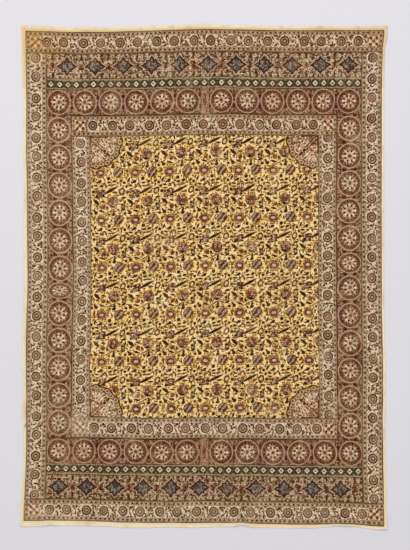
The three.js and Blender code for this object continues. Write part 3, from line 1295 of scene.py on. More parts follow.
class SharedGroups:
    """The shader node groups that every finish uses, each built once."""

    def __init__(self) -> None:
        """Builds the four groups."""
        self.hand = self._hand()
        self.dye = self._dye()
        self.age = self._age()
        self.weave = self._weave()

    @staticmethod
    def _open(
        title: str, inputs: Sequence[tuple[str, str]], outputs: Sequence[tuple[str, str]]
    ) -> tuple[bpy.types.NodeTree, bpy.types.Node, bpy.types.Node]:
        """Starts a group.

        Args:
            title: The group's name.
            inputs: Names and kinds of its inputs.
            outputs: Names and kinds of its outputs.

        Returns:
            The group, its input node and its output node.
        """
        tree = bpy.data.node_groups.new(title, "ShaderNodeTree")
        for direction, sockets in (("INPUT", inputs), ("OUTPUT", outputs)):
            for name, kind in sockets:
                tree.interface.new_socket(name, in_out=direction, socket_type=f"NodeSocket{kind}")
        return tree, tree.nodes.new("NodeGroupInput"), tree.nodes.new("NodeGroupOutput")

    @staticmethod
    def _mix(colour: bpy.types.NodeSocket, amount: Signal) -> bpy.types.Node:
        """Adds a node that lays one colour over another.

        Args:
            colour: The colour underneath.
            amount: How much of the other covers it.

        Returns:
            The Mix node, its upper colour still to be given.
        """
        mix = amount.tree.nodes.new("ShaderNodeMix")
        mix.data_type = "RGBA"
        feed(mix.inputs["Factor"], amount)
        amount.tree.links.new(colour, mix.inputs["A"])
        return mix

    def _hand(self) -> bpy.types.NodeTree:
        """Builds the group that shifts a block's place as an unsteady hand and worn edges do.

        Returns:
            The node group.
        """
        inputs = [("Place", "Vector"), ("Cloth", "Vector")]
        tree, start, end = self._open("Unsteady hand", inputs, [("Place", "Vector")])
        cloth = Place(tree, start.outputs["Cloth"])
        moved = start.outputs["Place"]
        for scale, detail, reach in HAND_WAVERS:
            centred = tree.nodes.new("ShaderNodeVectorMath")
            centred.operation = "SUBTRACT"
            tree.links.new(cloth.noise(scale, detail, "Color"), centred.inputs[0])
            centred.inputs[1].default_value = (0.5, 0.5, 0.5)
            added = tree.nodes.new("ShaderNodeVectorMath")
            added.operation = "MULTIPLY_ADD"
            tree.links.new(centred.outputs[0], added.inputs[0])
            added.inputs[1].default_value = (reach, reach, 0.0)
            tree.links.new(moved, added.inputs[2])
            moved = added.outputs[0]
        tree.links.new(moved, end.inputs["Place"])
        return tree

    def _dye(self) -> bpy.types.NodeTree:
        """Builds the group that lays the four inks on the cotton, unevenly.

        Returns:
            The node group.
        """
        inputs = [("Cloth", "Vector"), ("Ground", "Color")]
        inputs += [(f"{ink.value} Hue", "Color") for ink in Ink]
        inputs += [(ink.value, "Float") for ink in Ink] + [("Strike and shade", "Float")]
        tree, start, end = self._open("Dye", inputs, [("Color", "Color")])
        cloth = Place(tree, start.outputs["Cloth"])
        grain = cloth.uneven(THREAD_GRAIN)
        press = cloth.uneven(BLOCK_PRESS)
        fading = cloth.uneven(RED_FADING)
        # The strike also carries painted shade on the top hem.
        strike_and_shade = Signal(tree, start.outputs["Strike and shade"])
        colour = start.outputs["Ground"]
        for ink in Ink:
            held = (strike_and_shade * BLACK_HOLD).lesser(1.0) if ink is Ink.BLACK else strike_and_shade
            amount = Signal(tree, start.outputs[ink.value]) * held
            if ink is not Ink.WASH:
                amount = amount * grain * press
            if ink is Ink.RED:
                amount = amount * fading
            mix = self._mix(colour, amount)
            tree.links.new(start.outputs[f"{ink.value} Hue"], mix.inputs["B"])
            colour = mix.outputs["Result"]
        tree.links.new(colour, end.inputs["Color"])
        return tree

    def _age(self) -> bpy.types.NodeTree:
        """Builds the group that fades, stains and rubs the printed cotton.

        Returns:
            The node group.
        """
        inputs = [("Cloth", "Vector"), ("Color", "Color")]
        tree, start, end = self._open("Age", inputs, [("Color", "Color")])
        cloth = Place(tree, start.outputs["Cloth"])
        layers = []
        for spot in AGE_SPOTS:
            reach = cloth.shifted(spot.x, spot.y).reach()
            layers.append((reach.step(SPOT_CORE * spot.radius, spot.radius, spot.amount, 0.0), spot.hue))
        layers += [(cloth.uneven(row), hue) for row, hue in AGE_PATCHES]
        colour = start.outputs["Color"]
        for amount, hue in layers:
            mix = self._mix(colour, amount)
            mix.inputs["B"].default_value = hue.shown()
            colour = mix.outputs["Result"]
        curve = tree.nodes.new("ShaderNodeGamma")
        tree.links.new(colour, curve.inputs["Color"])
        curve.inputs["Gamma"].default_value = TONE_CURVE
        tree.links.new(curve.outputs["Color"], end.inputs["Color"])
        return tree

    def _weave(self) -> bpy.types.NodeTree:
        """Builds the group of the plain weave: its height, its shade and its roughness.

        Returns:
            The node group.
        """
        outputs = [("Height", "Float"), ("Shade", "Float"), ("Roughness", "Float")]
        tree, start, end = self._open("Plain weave", [("Cloth", "Vector")], outputs)
        cloth = Place(tree, start.outputs["Cloth"])
        x, y = cloth.parts()
        turn = 2 * math.pi / THREAD_PITCH
        threads = (x * turn).sine() * (y * turn).sine()
        slub = cloth.within(WARP_SLUB).blotch(1.0, 1.0) + cloth.within(WEFT_SLUB).blotch(1.0, 1.0)
        feed(end.inputs["Height"], threads * THREAD_HEIGHT + slub)
        feed(end.inputs["Shade"], slub.step(*SLUB_SHADE))
        feed(end.inputs["Roughness"], slub.step(*SLUB_ROUGHNESS))
        return tree


@dataclass(frozen=True)
class PrintedFinish:
    """Printed cotton of one zone: its block and the hues of its cotton, wash and red."""

    title: str
    block: Block
    ground: Hue
    wash: Hue
    red: Hue
    black: Hue = BLACK_DYE
    blue: Hue = BLUE_DYE
    weave_strength: float = 0.35
    weave_depth: float = 0.0004
    gloss: float = 0.12

    def build(self, groups: SharedGroups) -> bpy.types.Material:
        """Builds the material.

        Args:
            groups: The shared node groups.

        Returns:
            The material.
        """
        material = bpy.data.materials.new(self.title)
        material.use_nodes = True
        tree = material.node_tree
        link = tree.links.new
        shader = tree.nodes["Principled BSDF"]
        coordinates = tree.nodes.new("ShaderNodeTexCoord")
        cloth = Place(tree, coordinates.outputs["Object"])
        place = tree.nodes.new("ShaderNodeAttribute")
        place.attribute_name = "block_place"
        strike_and_shade = tree.nodes.new("ShaderNodeAttribute")
        strike_and_shade.attribute_name = "strike_and_shade"
        hand = self._group(tree, groups.hand, cloth)
        link(place.outputs["Vector"], hand.inputs["Place"])
        block = tree.nodes.new("ShaderNodeGroup")
        block.node_tree = self.block.build()
        link(hand.outputs["Place"], block.inputs["Place"])
        dye = self._group(tree, groups.dye, cloth)
        dye.inputs["Ground"].default_value = self.ground.shown()
        for ink, hue in zip(Ink, (self.wash, self.red, self.blue, self.black)):
            dye.inputs[f"{ink.value} Hue"].default_value = hue.shown()
            link(block.outputs[ink.value], dye.inputs[ink.value])
        link(strike_and_shade.outputs["Fac"], dye.inputs["Strike and shade"])
        age = self._group(tree, groups.age, cloth)
        link(dye.outputs["Color"], age.inputs["Color"])
        weave = self._group(tree, groups.weave, cloth)
        shade = tree.nodes.new("ShaderNodeVectorMath")
        shade.operation = "SCALE"
        link(age.outputs["Color"], shade.inputs[0])
        link(weave.outputs["Shade"], shade.inputs["Scale"])
        bump = tree.nodes.new("ShaderNodeBump")
        bump.inputs["Strength"].default_value = self.weave_strength
        bump.inputs["Distance"].default_value = self.weave_depth
        link(weave.outputs["Height"], bump.inputs["Height"])
        link(shade.outputs["Vector"], shader.inputs["Base Color"])
        link(weave.outputs["Roughness"], shader.inputs["Roughness"])
        link(bump.outputs["Normal"], shader.inputs["Normal"])
        shader.inputs["Specular IOR Level"].default_value = self.gloss
        return material

    @staticmethod
    def _group(tree: bpy.types.NodeTree, group: bpy.types.NodeTree, cloth: Place) -> bpy.types.Node:
        """Adds a shared group that reads the place on the cloth.

        Args:
            tree: The material's node tree.
            group: The group.
            cloth: The place on the cloth.

        Returns:
            The group node.
        """
        node = tree.nodes.new("ShaderNodeGroup")
        node.node_tree = group
        feed(node.inputs["Cloth"], cloth)
        return node


YELLOW_WASH = Hue(240, 190, 94)
FINISHES = {
    Zone.HEM: PrintedFinish(
        "hem_cotton", HemBlock(), Hue(247, 231, 200), Hue(208, 174, 118), Hue(140, 80, 58)
    ),
    Zone.SMALL: PrintedFinish(
        "small_rosette_print", SmallBlock(), COTTON, Hue(180, 151, 114), Hue(120, 74, 62)
    ),
    Zone.FLOWER: PrintedFinish(
        "corner_flower_print", FlowerBlock(), COTTON, Hue(182, 148, 104), Hue(140, 54, 36)
    ),
    Zone.LOZENGE: PrintedFinish(
        "lozenge_print", LozengeBlock(), COTTON, Hue(164, 132, 94), Hue(126, 58, 46)
    ),
    Zone.DIAMOND: PrintedFinish(
        "diamond_print", DiamondBlock(), COTTON, Hue(176, 148, 104), Hue(134, 84, 56), GREEN_BLACK
    ),
    Zone.MEDALLION: PrintedFinish(
        "medallion_print", MedallionBlock(), COTTON, Hue(185, 149, 107), Hue(132, 59, 49)
    ),
    Zone.FIELD: PrintedFinish(
        "field_print", FieldBlock(), COTTON, YELLOW_WASH, Hue(130, 56, 42), BLACK_DYE, LILAC_DYE
    ),
    Zone.FAN: PrintedFinish("corner_fan_print", FanBlock(), COTTON, YELLOW_WASH, Hue(142, 72, 46)),
}


class LiftedFold(NamedTuple):
    """A place where the hem stands off the surface: its edge, place there, reach and height."""

    side: Side
    at: float
    half_width: float
    reach: float
    height: float


class Crease(NamedTuple):
    """A soft ridge left in the cloth: its ends, its half width and its height."""

    x0: float
    y0: float
    x1: float
    y1: float
    half_width: float
    height: float


# Places along each edge, and how far it is drawn in from the cut rectangle there.
DRAWN_IN = {
    Side.TOP: (
        (-675, 2), (-610, 6.5), (-480, 12), (-430, 9.5), (-365, 12), (-255, 8.5), (-125, 5), (0, 0),
        (100, 4), (320, 7.5), (450, 6), (580, 7.5), (675, 5),
    ),
    Side.BOTTOM: (
        (-675, 9.5), (-610, 10), (-565, 15.5), (-520, 13), (-350, 11), (-300, 5.5), (-210, 5.5),
        (-125, 8.5), (-50, 5.5), (100, 10), (142, 16), (186, 6), (405, 4), (450, 8), (490, 15),
        (545, 14), (585, 6), (625, 0.5), (675, 0),
    ),
    Side.LEFT: (
        (-928, 0), (-866, 0), (-808, 4.5), (-690, 10.5), (-572, 11.5), (-513, 7.5), (-455, 10.5),
        (-278, 7.5), (-160, 8.5), (-43, 16), (75, 12.5), (370, 13.5), (487, 8.5), (605, 10.5),
        (840, 5), (928, 2),
    ),
    Side.RIGHT: (
        (-928, 2), (-866, 3.5), (-631, 7.5), (-513, 10.5), (-455, 7.5), (-337, 7), (-219, 10.5),
        (-101, 13), (193, 13.5), (722, 12.5), (840, 10), (899, 1), (928, 0),
    ),
}
LIFTED_FOLDS = (
    LiftedFold(Side.TOP, 0, 70, 70, 3.5), LiftedFold(Side.TOP, -430, 60, 50, 2),
    LiftedFold(Side.BOTTOM, 518, 75, 75, 6), LiftedFold(Side.BOTTOM, 142, 55, 60, 4),
    LiftedFold(Side.BOTTOM, 675, 70, 80, 5), LiftedFold(Side.BOTTOM, -565, 55, 55, 3),
    LiftedFold(Side.LEFT, -43, 75, 60, 4), LiftedFold(Side.LEFT, -513, 55, 50, 2.5),
    LiftedFold(Side.RIGHT, -513, 60, 55, 3), LiftedFold(Side.RIGHT, 880, 55, 60, 2.5),
)
CREASES = (
    Crease(520, -850, 380, -640, 26, 0.9), Crease(142, -870, 120, -700, 22, 0.7),
    Crease(-565, -860, -520, -740, 22, 0.6), Crease(0, 860, 10, 700, 26, 0.6),
    Crease(-610, -40, -480, -10, 24, 0.7), Crease(-300, 420, 60, 260, 40, 0.5),
    Crease(220, -120, 420, -300, 40, 0.5),
)
# How the print was pulled askew: shifts at the left, middle and right of five rows, bottom to top.
PULL_ACROSS = (
    (-4.0, -4.5, 0.0), (-3.0, -1.5, 0.8), (-1.5, 2.2, 1.5), (-4.0, 0.6, 1.0), (1.2, 0.4, 0.0),
)
PULL_ALONG = (
    (8.0, 3.0, -5.0), (3.6, 1.8, 0.0), (0.0, 1.0, 4.5), (-1.2, 1.1, 3.0), (-3.0, 1.4, 1.4),
)
# The inner border's upright runs bow inwards: where, over what reach and half length, and how far.
BOW_AT = 463.0
BOW_REACH = 75.0
BOW_HALF_LENGTH = 520.0
BOW_DEPTH = 4.4
# The hem's section: distances from the edge, and how far it stands over the cloth there.
HEM_PROFILE = ((0.0, 1.2, 3.0, 6.0, 8.0, 9.6, 11.0), (0.2, 0.68, 0.8, 0.76, 0.7, 0.08, 0.0))


@dataclass(frozen=True)
class LaidCloth:
    """The cloth's shape as it lies: its drawn-in edges, lifted folds, hem and soft creases."""

    half_width: float = PANEL_WIDTH / 2
    half_length: float = PANEL_LENGTH / 2
    settling: float = 14.0
    margin: float = 12.0
    wave_span: int = 150
    wave_step: int = 30
    crease_end: float = 0.08
    crease_slope: float = 2.0

    def away(self, side: Side, x: np.ndarray, y: np.ndarray) -> np.ndarray:
        """Gives the distance from one edge of the cut rectangle."""
        inward = {Side.TOP: -y, Side.BOTTOM: y, Side.LEFT: x, Side.RIGHT: -x}[side]
        return inward + (self.half_length if side.is_row else self.half_width)

    @staticmethod
    def along(side: Side, x: np.ndarray, y: np.ndarray) -> np.ndarray:
        """Gives the place along one edge."""
        return x if side.is_row else y

    @staticmethod
    def _row_value(side: Side, along: np.ndarray) -> np.ndarray:
        """Reads an edge's table smoothly.

        Args:
            side: The edge.
            along: Places along it.

        Returns:
            How far it is drawn in there.
        """
        at, inset = np.array(DRAWN_IN[side], float).T
        after = np.clip(np.searchsorted(at, along), 1, len(at) - 1)
        share = np.clip((along - at[after - 1]) / (at[after] - at[after - 1]), 0.0, 1.0)
        share = share * share * (3.0 - 2.0 * share)
        return inset[after - 1] + (inset[after] - inset[after - 1]) * share

    def drawn_in(self, side: Side, x: np.ndarray, y: np.ndarray) -> np.ndarray:
        """Gives an edge's pull at a point. Its short waves die out inside the cloth.

        Args:
            side: The edge.
            x: Places across the flat cloth.
            y: Places along it.

        Returns:
            The pull there.
        """
        along = self.along(side, x, y)
        exact = self._row_value(side, along)
        steps = range(-self.wave_span, self.wave_span + 1, self.wave_step)
        broad = np.mean([self._row_value(side, along + step) for step in steps], axis=0)
        return broad + (exact - broad) * np.exp(-self.away(side, x, y) / self.settling)

    def laid(self, x: np.ndarray, y: np.ndarray) -> tuple[np.ndarray, np.ndarray]:
        """Gives where points of the flat cloth lie.

        Args:
            x: Places across the flat cloth.
            y: Places along it.

        Returns:
            Their places on the surface.
        """
        right = (x + self.half_width) / (2 * self.half_width)
        top = (y + self.half_length) / (2 * self.half_length)
        across = self.drawn_in(Side.LEFT, x, y) * (1 - right) - self.drawn_in(Side.RIGHT, x, y) * right
        along = self.drawn_in(Side.BOTTOM, x, y) * (1 - top) - self.drawn_in(Side.TOP, x, y) * top
        inward = np.clip(self.edge_distance(x, y) / self.margin, 0.0, 1.0)
        across = across + self._pull(PULL_ACROSS, right, top) * inward - self._bow(x, y)
        along = along + self._pull(PULL_ALONG, right, top) * inward
        return x + across, y + along

    @staticmethod
    def _bow(x: np.ndarray, y: np.ndarray) -> np.ndarray:
        """Gives how far the inner border's upright runs bow towards the middle."""
        share = np.clip(1.0 - np.abs(np.abs(x) - BOW_AT) / BOW_REACH, 0.0, 1.0)
        return np.sign(x) * BOW_DEPTH * share * np.clip(1.0 - (y / BOW_HALF_LENGTH) ** 2, 0.0, 1.0)

    @staticmethod
    def _pull(table: Sequence[Sequence[float]], right: np.ndarray, top: np.ndarray) -> np.ndarray:
        """Reads a table of the print's shifts.

        Args:
            table: Rows from the bottom to the top, each from left to right.
            right: Share of the way across the cloth.
            top: Share of the way up it.

        Returns:
            The shift there.
        """
        rows = [np.interp(right, (0.0, 0.5, 1.0), row) for row in table]
        height = np.clip(top, 0.0, 1.0) * (len(rows) - 1)
        weights = [np.clip(1.0 - np.abs(height - number), 0.0, 1.0) for number in range(len(rows))]
        return sum(row * weight for row, weight in zip(rows, weights))

    def lift(self, x: np.ndarray, y: np.ndarray) -> np.ndarray:
        """Gives the height of the underside over the surface.

        Args:
            x: Places across the flat cloth.
            y: Places along it.

        Returns:
            The height there.
        """
        height = np.zeros_like(x)
        for fold in LIFTED_FOLDS:
            off = np.abs(self.along(fold.side, x, y) - fold.at) / fold.half_width
            depth = self.away(fold.side, x, y) / fold.reach
            crest = np.cos(np.clip(off, 0.0, 1.0) * math.pi / 2) ** 2
            height = np.maximum(height, fold.height * crest * np.clip(1 - depth, 0.0, 1.0) ** 2)
        return height

    def edge_distance(self, x: np.ndarray, y: np.ndarray) -> np.ndarray:
        """Gives the distance from the nearest edge."""
        return np.min([self.away(side, x, y) for side in Side], axis=0)

    def relief(self, x: np.ndarray, y: np.ndarray) -> np.ndarray:
        """Gives what the hem and the creases add to the upper face.

        Args:
            x: Places across the flat cloth.
            y: Places along it.

        Returns:
            The added height.
        """
        hem = np.interp(self.edge_distance(x, y), *HEM_PROFILE)
        crease = np.zeros_like(x)
        for row in CREASES:
            run = np.array([row.x1 - row.x0, row.y1 - row.y0])
            length = np.hypot(*run)
            share = np.clip(((x - row.x0) * run[0] + (y - row.y0) * run[1]) / length**2, 0.0, 1.0)
            off = np.hypot(x - row.x0 - share * run[0], y - row.y0 - share * run[1]) / row.half_width
            taper = np.sin(math.pi * np.clip(share, self.crease_end, 1 - self.crease_end))
            crease = np.maximum(crease, row.height * taper * np.exp(-off * off * self.crease_slope))
        return hem + crease


class Run(NamedTuple):
    """One run of a border: where a block's repeat begins on the cloth, and its length there."""

    first: float
    period: float

    def at(self, values: np.ndarray, pitch: float) -> np.ndarray:
        """Gives the places along a block whose own repeat is one pitch long."""
        return (values - self.first) * pitch / self.period


class Knots(NamedTuple):
    """Places on the cloth and the places on the block that they are printed from."""

    cloth: tuple[float, ...]
    block: tuple[float, ...]

    def at(self, values: np.ndarray) -> np.ndarray:
        """Reads the table by straight lines."""
        return np.interp(values, self.cloth, self.block)


OUTER_RUNS = {
    Side.TOP: Run(-522.2, 136.5),
    Side.RIGHT: Run(-810.8, 147.9),
    Side.BOTTOM: Run(568.7, 136.0),
    Side.LEFT: Run(813.1, 148.4),
}
INNER_RUNS = {
    Side.TOP: Run(-277.8, 136.9),
    Side.RIGHT: Run(-516.5, 146.6),
    Side.BOTTOM: Run(410.7, 138.2),
    Side.LEFT: Run(497.8, 147.4),
}
SMALL_ACROSS = (-40.5, -37, -21.5, 0, 21.5, 37, 40.5)
OUTER_COLUMN = Knots((584.5, 588, 604, 627, 647, 660, 663), SMALL_ACROSS)
OUTER_ROW = Knots((831, 834.5, 850.5, 872, 896, 911, 914), SMALL_ACROSS)
INNER_COLUMN = Knots((426.5, 429.5, 441, 463, 483, 493, 495.5), SMALL_ACROSS)
INNER_ROW = Knots((523, 526.5, 540.5, 563, 585.5, 598, 601.5), SMALL_ACROSS)
MEDALLION_COLUMN = Knots((495.5, 499, 543, 584, 584.5), (-47.5, -44.5, 0, 44, 44.5))
MEDALLION_ROW = Knots((601.5, 605.5, 650.5, 695, 699), (-47.5, -44.5, 0, 44.5, 47.5))
MEDALLION_RUNS = {
    Side.TOP: Knots((-589.4, -13.4, 17, 587.6), (-650, -50, 50, 650)),
    Side.RIGHT: Knots((-702, 7.6, 90.5, 702), (1650, 2350, 2450, 3050)),
    Side.BOTTOM: Knots((-591.2, -15.2, 15.2, 591.2), (-650, -50, 50, 650)),
    Side.LEFT: Knots((-702, -84, -20, 702), (1650, 2250, 2350, 3050)),
}
LOZENGE_RUNS = {Side.TOP: Run(-510.6, 104.7), Side.BOTTOM: Run(538.4, 104.3)}
DIAMOND_RUNS = {Side.TOP: Run(-570.5, 31.74), Side.BOTTOM: Run(546.5, 31.93)}
DIAMOND_ROW = Knots((699, 702, 717, 732, 738), (-18, -15, 0, 15, 21))
FIELD_ORIGIN = (0.5, 216.5)
FIELD_PRINTED = (128.6, 176.1)
FIELD_SKEW = 0.0065
FIELD_TILT = 0.012


@dataclass(frozen=True)
class PrintLayout:
    """Where each block is printed on the flat cloth."""

    field: tuple[float, float] = (426.5, 523.0)
    inner: tuple[float, float] = (495.5, 601.5)
    wide: tuple[float, float] = (584.5, 699.0)
    diamond_end: float = 738.0
    lozenge_middle: float = 784.5
    lozenge_end: float = 831.0
    outer: tuple[float, float] = (663.0, 914.0)
    inner_corner: tuple[float, float] = (441.0, 540.5)
    outer_corner: tuple[float, float] = (604.0, 850.5)
    fan_span: float = 126.0
    fan_step: float = 4.5

    def marks(self) -> tuple[list[float], list[float]]:
        """Gives the lines across and along the print that the mesh must follow.

        Returns:
            Distances from the print's middle, to its right and towards its top.
        """
        columns = {*OUTER_COLUMN.cloth, *INNER_COLUMN.cloth, *MEDALLION_COLUMN.cloth}
        rows = {*OUTER_ROW.cloth, *INNER_ROW.cloth, *MEDALLION_ROW.cloth, *DIAMOND_ROW.cloth}
        rows |= {self.lozenge_end}
        for lines, end in zip((columns, rows), self.field):
            lines.update(np.arange(end - self.fan_span, end, self.fan_step))
        across = [sign * value for value in columns for sign in (-1, 1)]
        along = [sign * value for value in rows for sign in (-1, 1)]
        for side, run in MEDALLION_RUNS.items():
            lines = across if side.is_row else along
            lines.extend(run.cloth[1:-1])
        return across, along

    def zones(self, x: np.ndarray, y: np.ndarray) -> tuple[np.ndarray, np.ndarray]:
        """Finds the zone and the side of points.

        Args:
            x: Places across the print from its middle.
            y: Places along it.

        Returns:
            Values of Zone and of Side.
        """
        a, b = np.abs(x), np.abs(y)
        in_field = (a < self.field[0]) & (b < self.field[1])
        in_inner = (a < self.inner[0]) & (b < self.inner[1])
        in_wide = (a < self.wide[0]) & (b < self.wide[1])
        in_bands = (a < self.wide[0]) & (b < self.lozenge_end)
        in_outer = (a < self.outer[0]) & (b < self.outer[1])
        in_fan = in_field & self._fans(self.field[0] - a, self.field[1] - b)
        corner = in_inner & (a > self.inner_corner[0]) & (b > self.inner_corner[1])
        corner |= in_outer & (a > self.outer_corner[0]) & (b > self.outer_corner[1])
        small = in_outer & ~in_bands | in_inner & ~in_field
        tests = [corner, in_fan, in_field, small, in_wide, in_bands & (b < self.diamond_end), in_bands]
        kinds = [Zone.FLOWER, Zone.FAN, Zone.FIELD, Zone.SMALL]
        kinds += [Zone.MEDALLION, Zone.DIAMOND, Zone.LOZENGE]
        zone = np.select(tests, [kind.value for kind in kinds], Zone.HEM.value)
        start = np.select([in_inner, in_wide], [self.field[1], self.inner[1]], self.wide[1])
        start = np.where(in_outer & ~in_bands, self.lozenge_end, start)
        row = b > start
        side = np.select(
            [row & (y > 0), row, x > 0],
            [Side.TOP.value, Side.BOTTOM.value, Side.RIGHT.value],
            Side.LEFT.value,
        )
        return zone, side

    @staticmethod
    def _fans(p: np.ndarray, q: np.ndarray) -> np.ndarray:
        """Tells which points lie on a corner fan or just beyond its rim.

        Args:
            p: Distances from the field's side.
            q: Distances from its end.

        Returns:
            True on the fan.
        """
        angle = np.arctan2(p, q)
        scallop = FAN_SCALLOP * np.abs(np.sin(angle * FAN_LOBES))
        rim = FAN_RADIUS + scallop + FAN_SWELL * np.sin(angle * 2.0)
        return np.hypot(p, q) < rim + FAN_MARGIN

    @staticmethod
    def turned(side: Side, x: np.ndarray, y: np.ndarray) -> np.ndarray:
        """Gives the place along a run whose block is turned to face outwards."""
        return {Side.TOP: x, Side.RIGHT: -y, Side.BOTTOM: -x, Side.LEFT: y}[side]

    def _small(self, side: Side, x: np.ndarray, y: np.ndarray) -> tuple[np.ndarray, np.ndarray]:
        """Gives places on the small rosette block.

        Args:
            side: The run's side.
            x: Places across the print.
            y: Places along it.

        Returns:
            Places along and out on the block.
        """
        a, b = np.abs(x), np.abs(y)
        inside = (np.min(a) < self.inner[0] - 1.0) & (np.min(b) < self.inner[1] - 1.0)
        run = (INNER_RUNS if inside else OUTER_RUNS)[side]
        row, column = (INNER_ROW, INNER_COLUMN) if inside else (OUTER_ROW, OUTER_COLUMN)
        return run.at(self.turned(side, x, y), SMALL_PERIOD), row.at(b) if side.is_row else column.at(a)

    def places(
        self, zone: Zone, side: Side, x: np.ndarray, y: np.ndarray, cloth: LaidCloth
    ) -> tuple[np.ndarray, np.ndarray]:
        """Gives places on the block of one zone.

        Args:
            zone: The zone.
            side: The side of its border.
            x: Places across the print from its middle.
            y: Places along it.
            cloth: The laid cloth, for distances from its edges.

        Returns:
            The two coordinates on the block.
        """
        a, b = np.abs(x), np.abs(y)
        if zone is Zone.HEM:
            flat_x, flat_y = x + PRINT_MIDDLE[0], y + PRINT_MIDDLE[1]
            return self.turned(side, x, y), cloth.edge_distance(flat_x, flat_y)
        if zone is Zone.SMALL:
            return self._small(side, x, y)
        if zone is Zone.MEDALLION:
            along = MEDALLION_RUNS[side].at(cloth.along(side, x, y))
            return along, MEDALLION_ROW.at(b) if side.is_row else MEDALLION_COLUMN.at(a)
        if zone is Zone.LOZENGE:
            along = LOZENGE_RUNS[side].at(self.turned(side, x, y), LOZENGE_PITCH)
            return along, b - self.lozenge_middle
        if zone is Zone.DIAMOND:
            return DIAMOND_RUNS[side].at(self.turned(side, x, y), DIAMOND_PITCH), DIAMOND_ROW.at(b)
        if zone is Zone.FAN:
            return self.field[0] - a, self.field[1] - b
        across = (x - FIELD_ORIGIN[0] + FIELD_SKEW * y) * FIELD_CELL[0] / FIELD_PRINTED[0]
        return across, (y - FIELD_ORIGIN[1] - FIELD_TILT * x) * FIELD_CELL[1] / FIELD_PRINTED[1]

    def flower_places(self, x: np.ndarray, y: np.ndarray) -> tuple[np.ndarray, np.ndarray]:
        """Gives places on the corner flower block, positive outwards.

        Args:
            x: Places across the print from its middle.
            y: Places along it.

        Returns:
            The two coordinates on the block.
        """
        a, b = np.abs(x), np.abs(y)
        outer = a > self.wide[0]
        column = np.where(outer, OUTER_COLUMN.at(a), INNER_COLUMN.at(a))
        row = np.where(outer, OUTER_ROW.at(b), INNER_ROW.at(b))
        return column, row


# How strongly the runs of a border took the dye, where they differ from the rest. The top hem's value is
# painted shade: it prints that whole hem darker.
RUN_STRIKES_AND_SHADE = {
    # Painted shade: the top hem is printed darker.
    (Zone.HEM, Side.TOP): 1.6,
    (Zone.SMALL, Side.TOP): 1.08,
    (Zone.SMALL, Side.RIGHT): 0.86,
    (Zone.SMALL, Side.BOTTOM): 0.85,
    (Zone.SMALL, Side.LEFT): 0.8,
    (Zone.MEDALLION, Side.RIGHT): 0.87,
    (Zone.MEDALLION, Side.LEFT): 0.8,
    (Zone.LOZENGE, Side.BOTTOM): 1.06,
    (Zone.DIAMOND, Side.TOP): 0.96,
    (Zone.DIAMOND, Side.BOTTOM): 0.91,
}


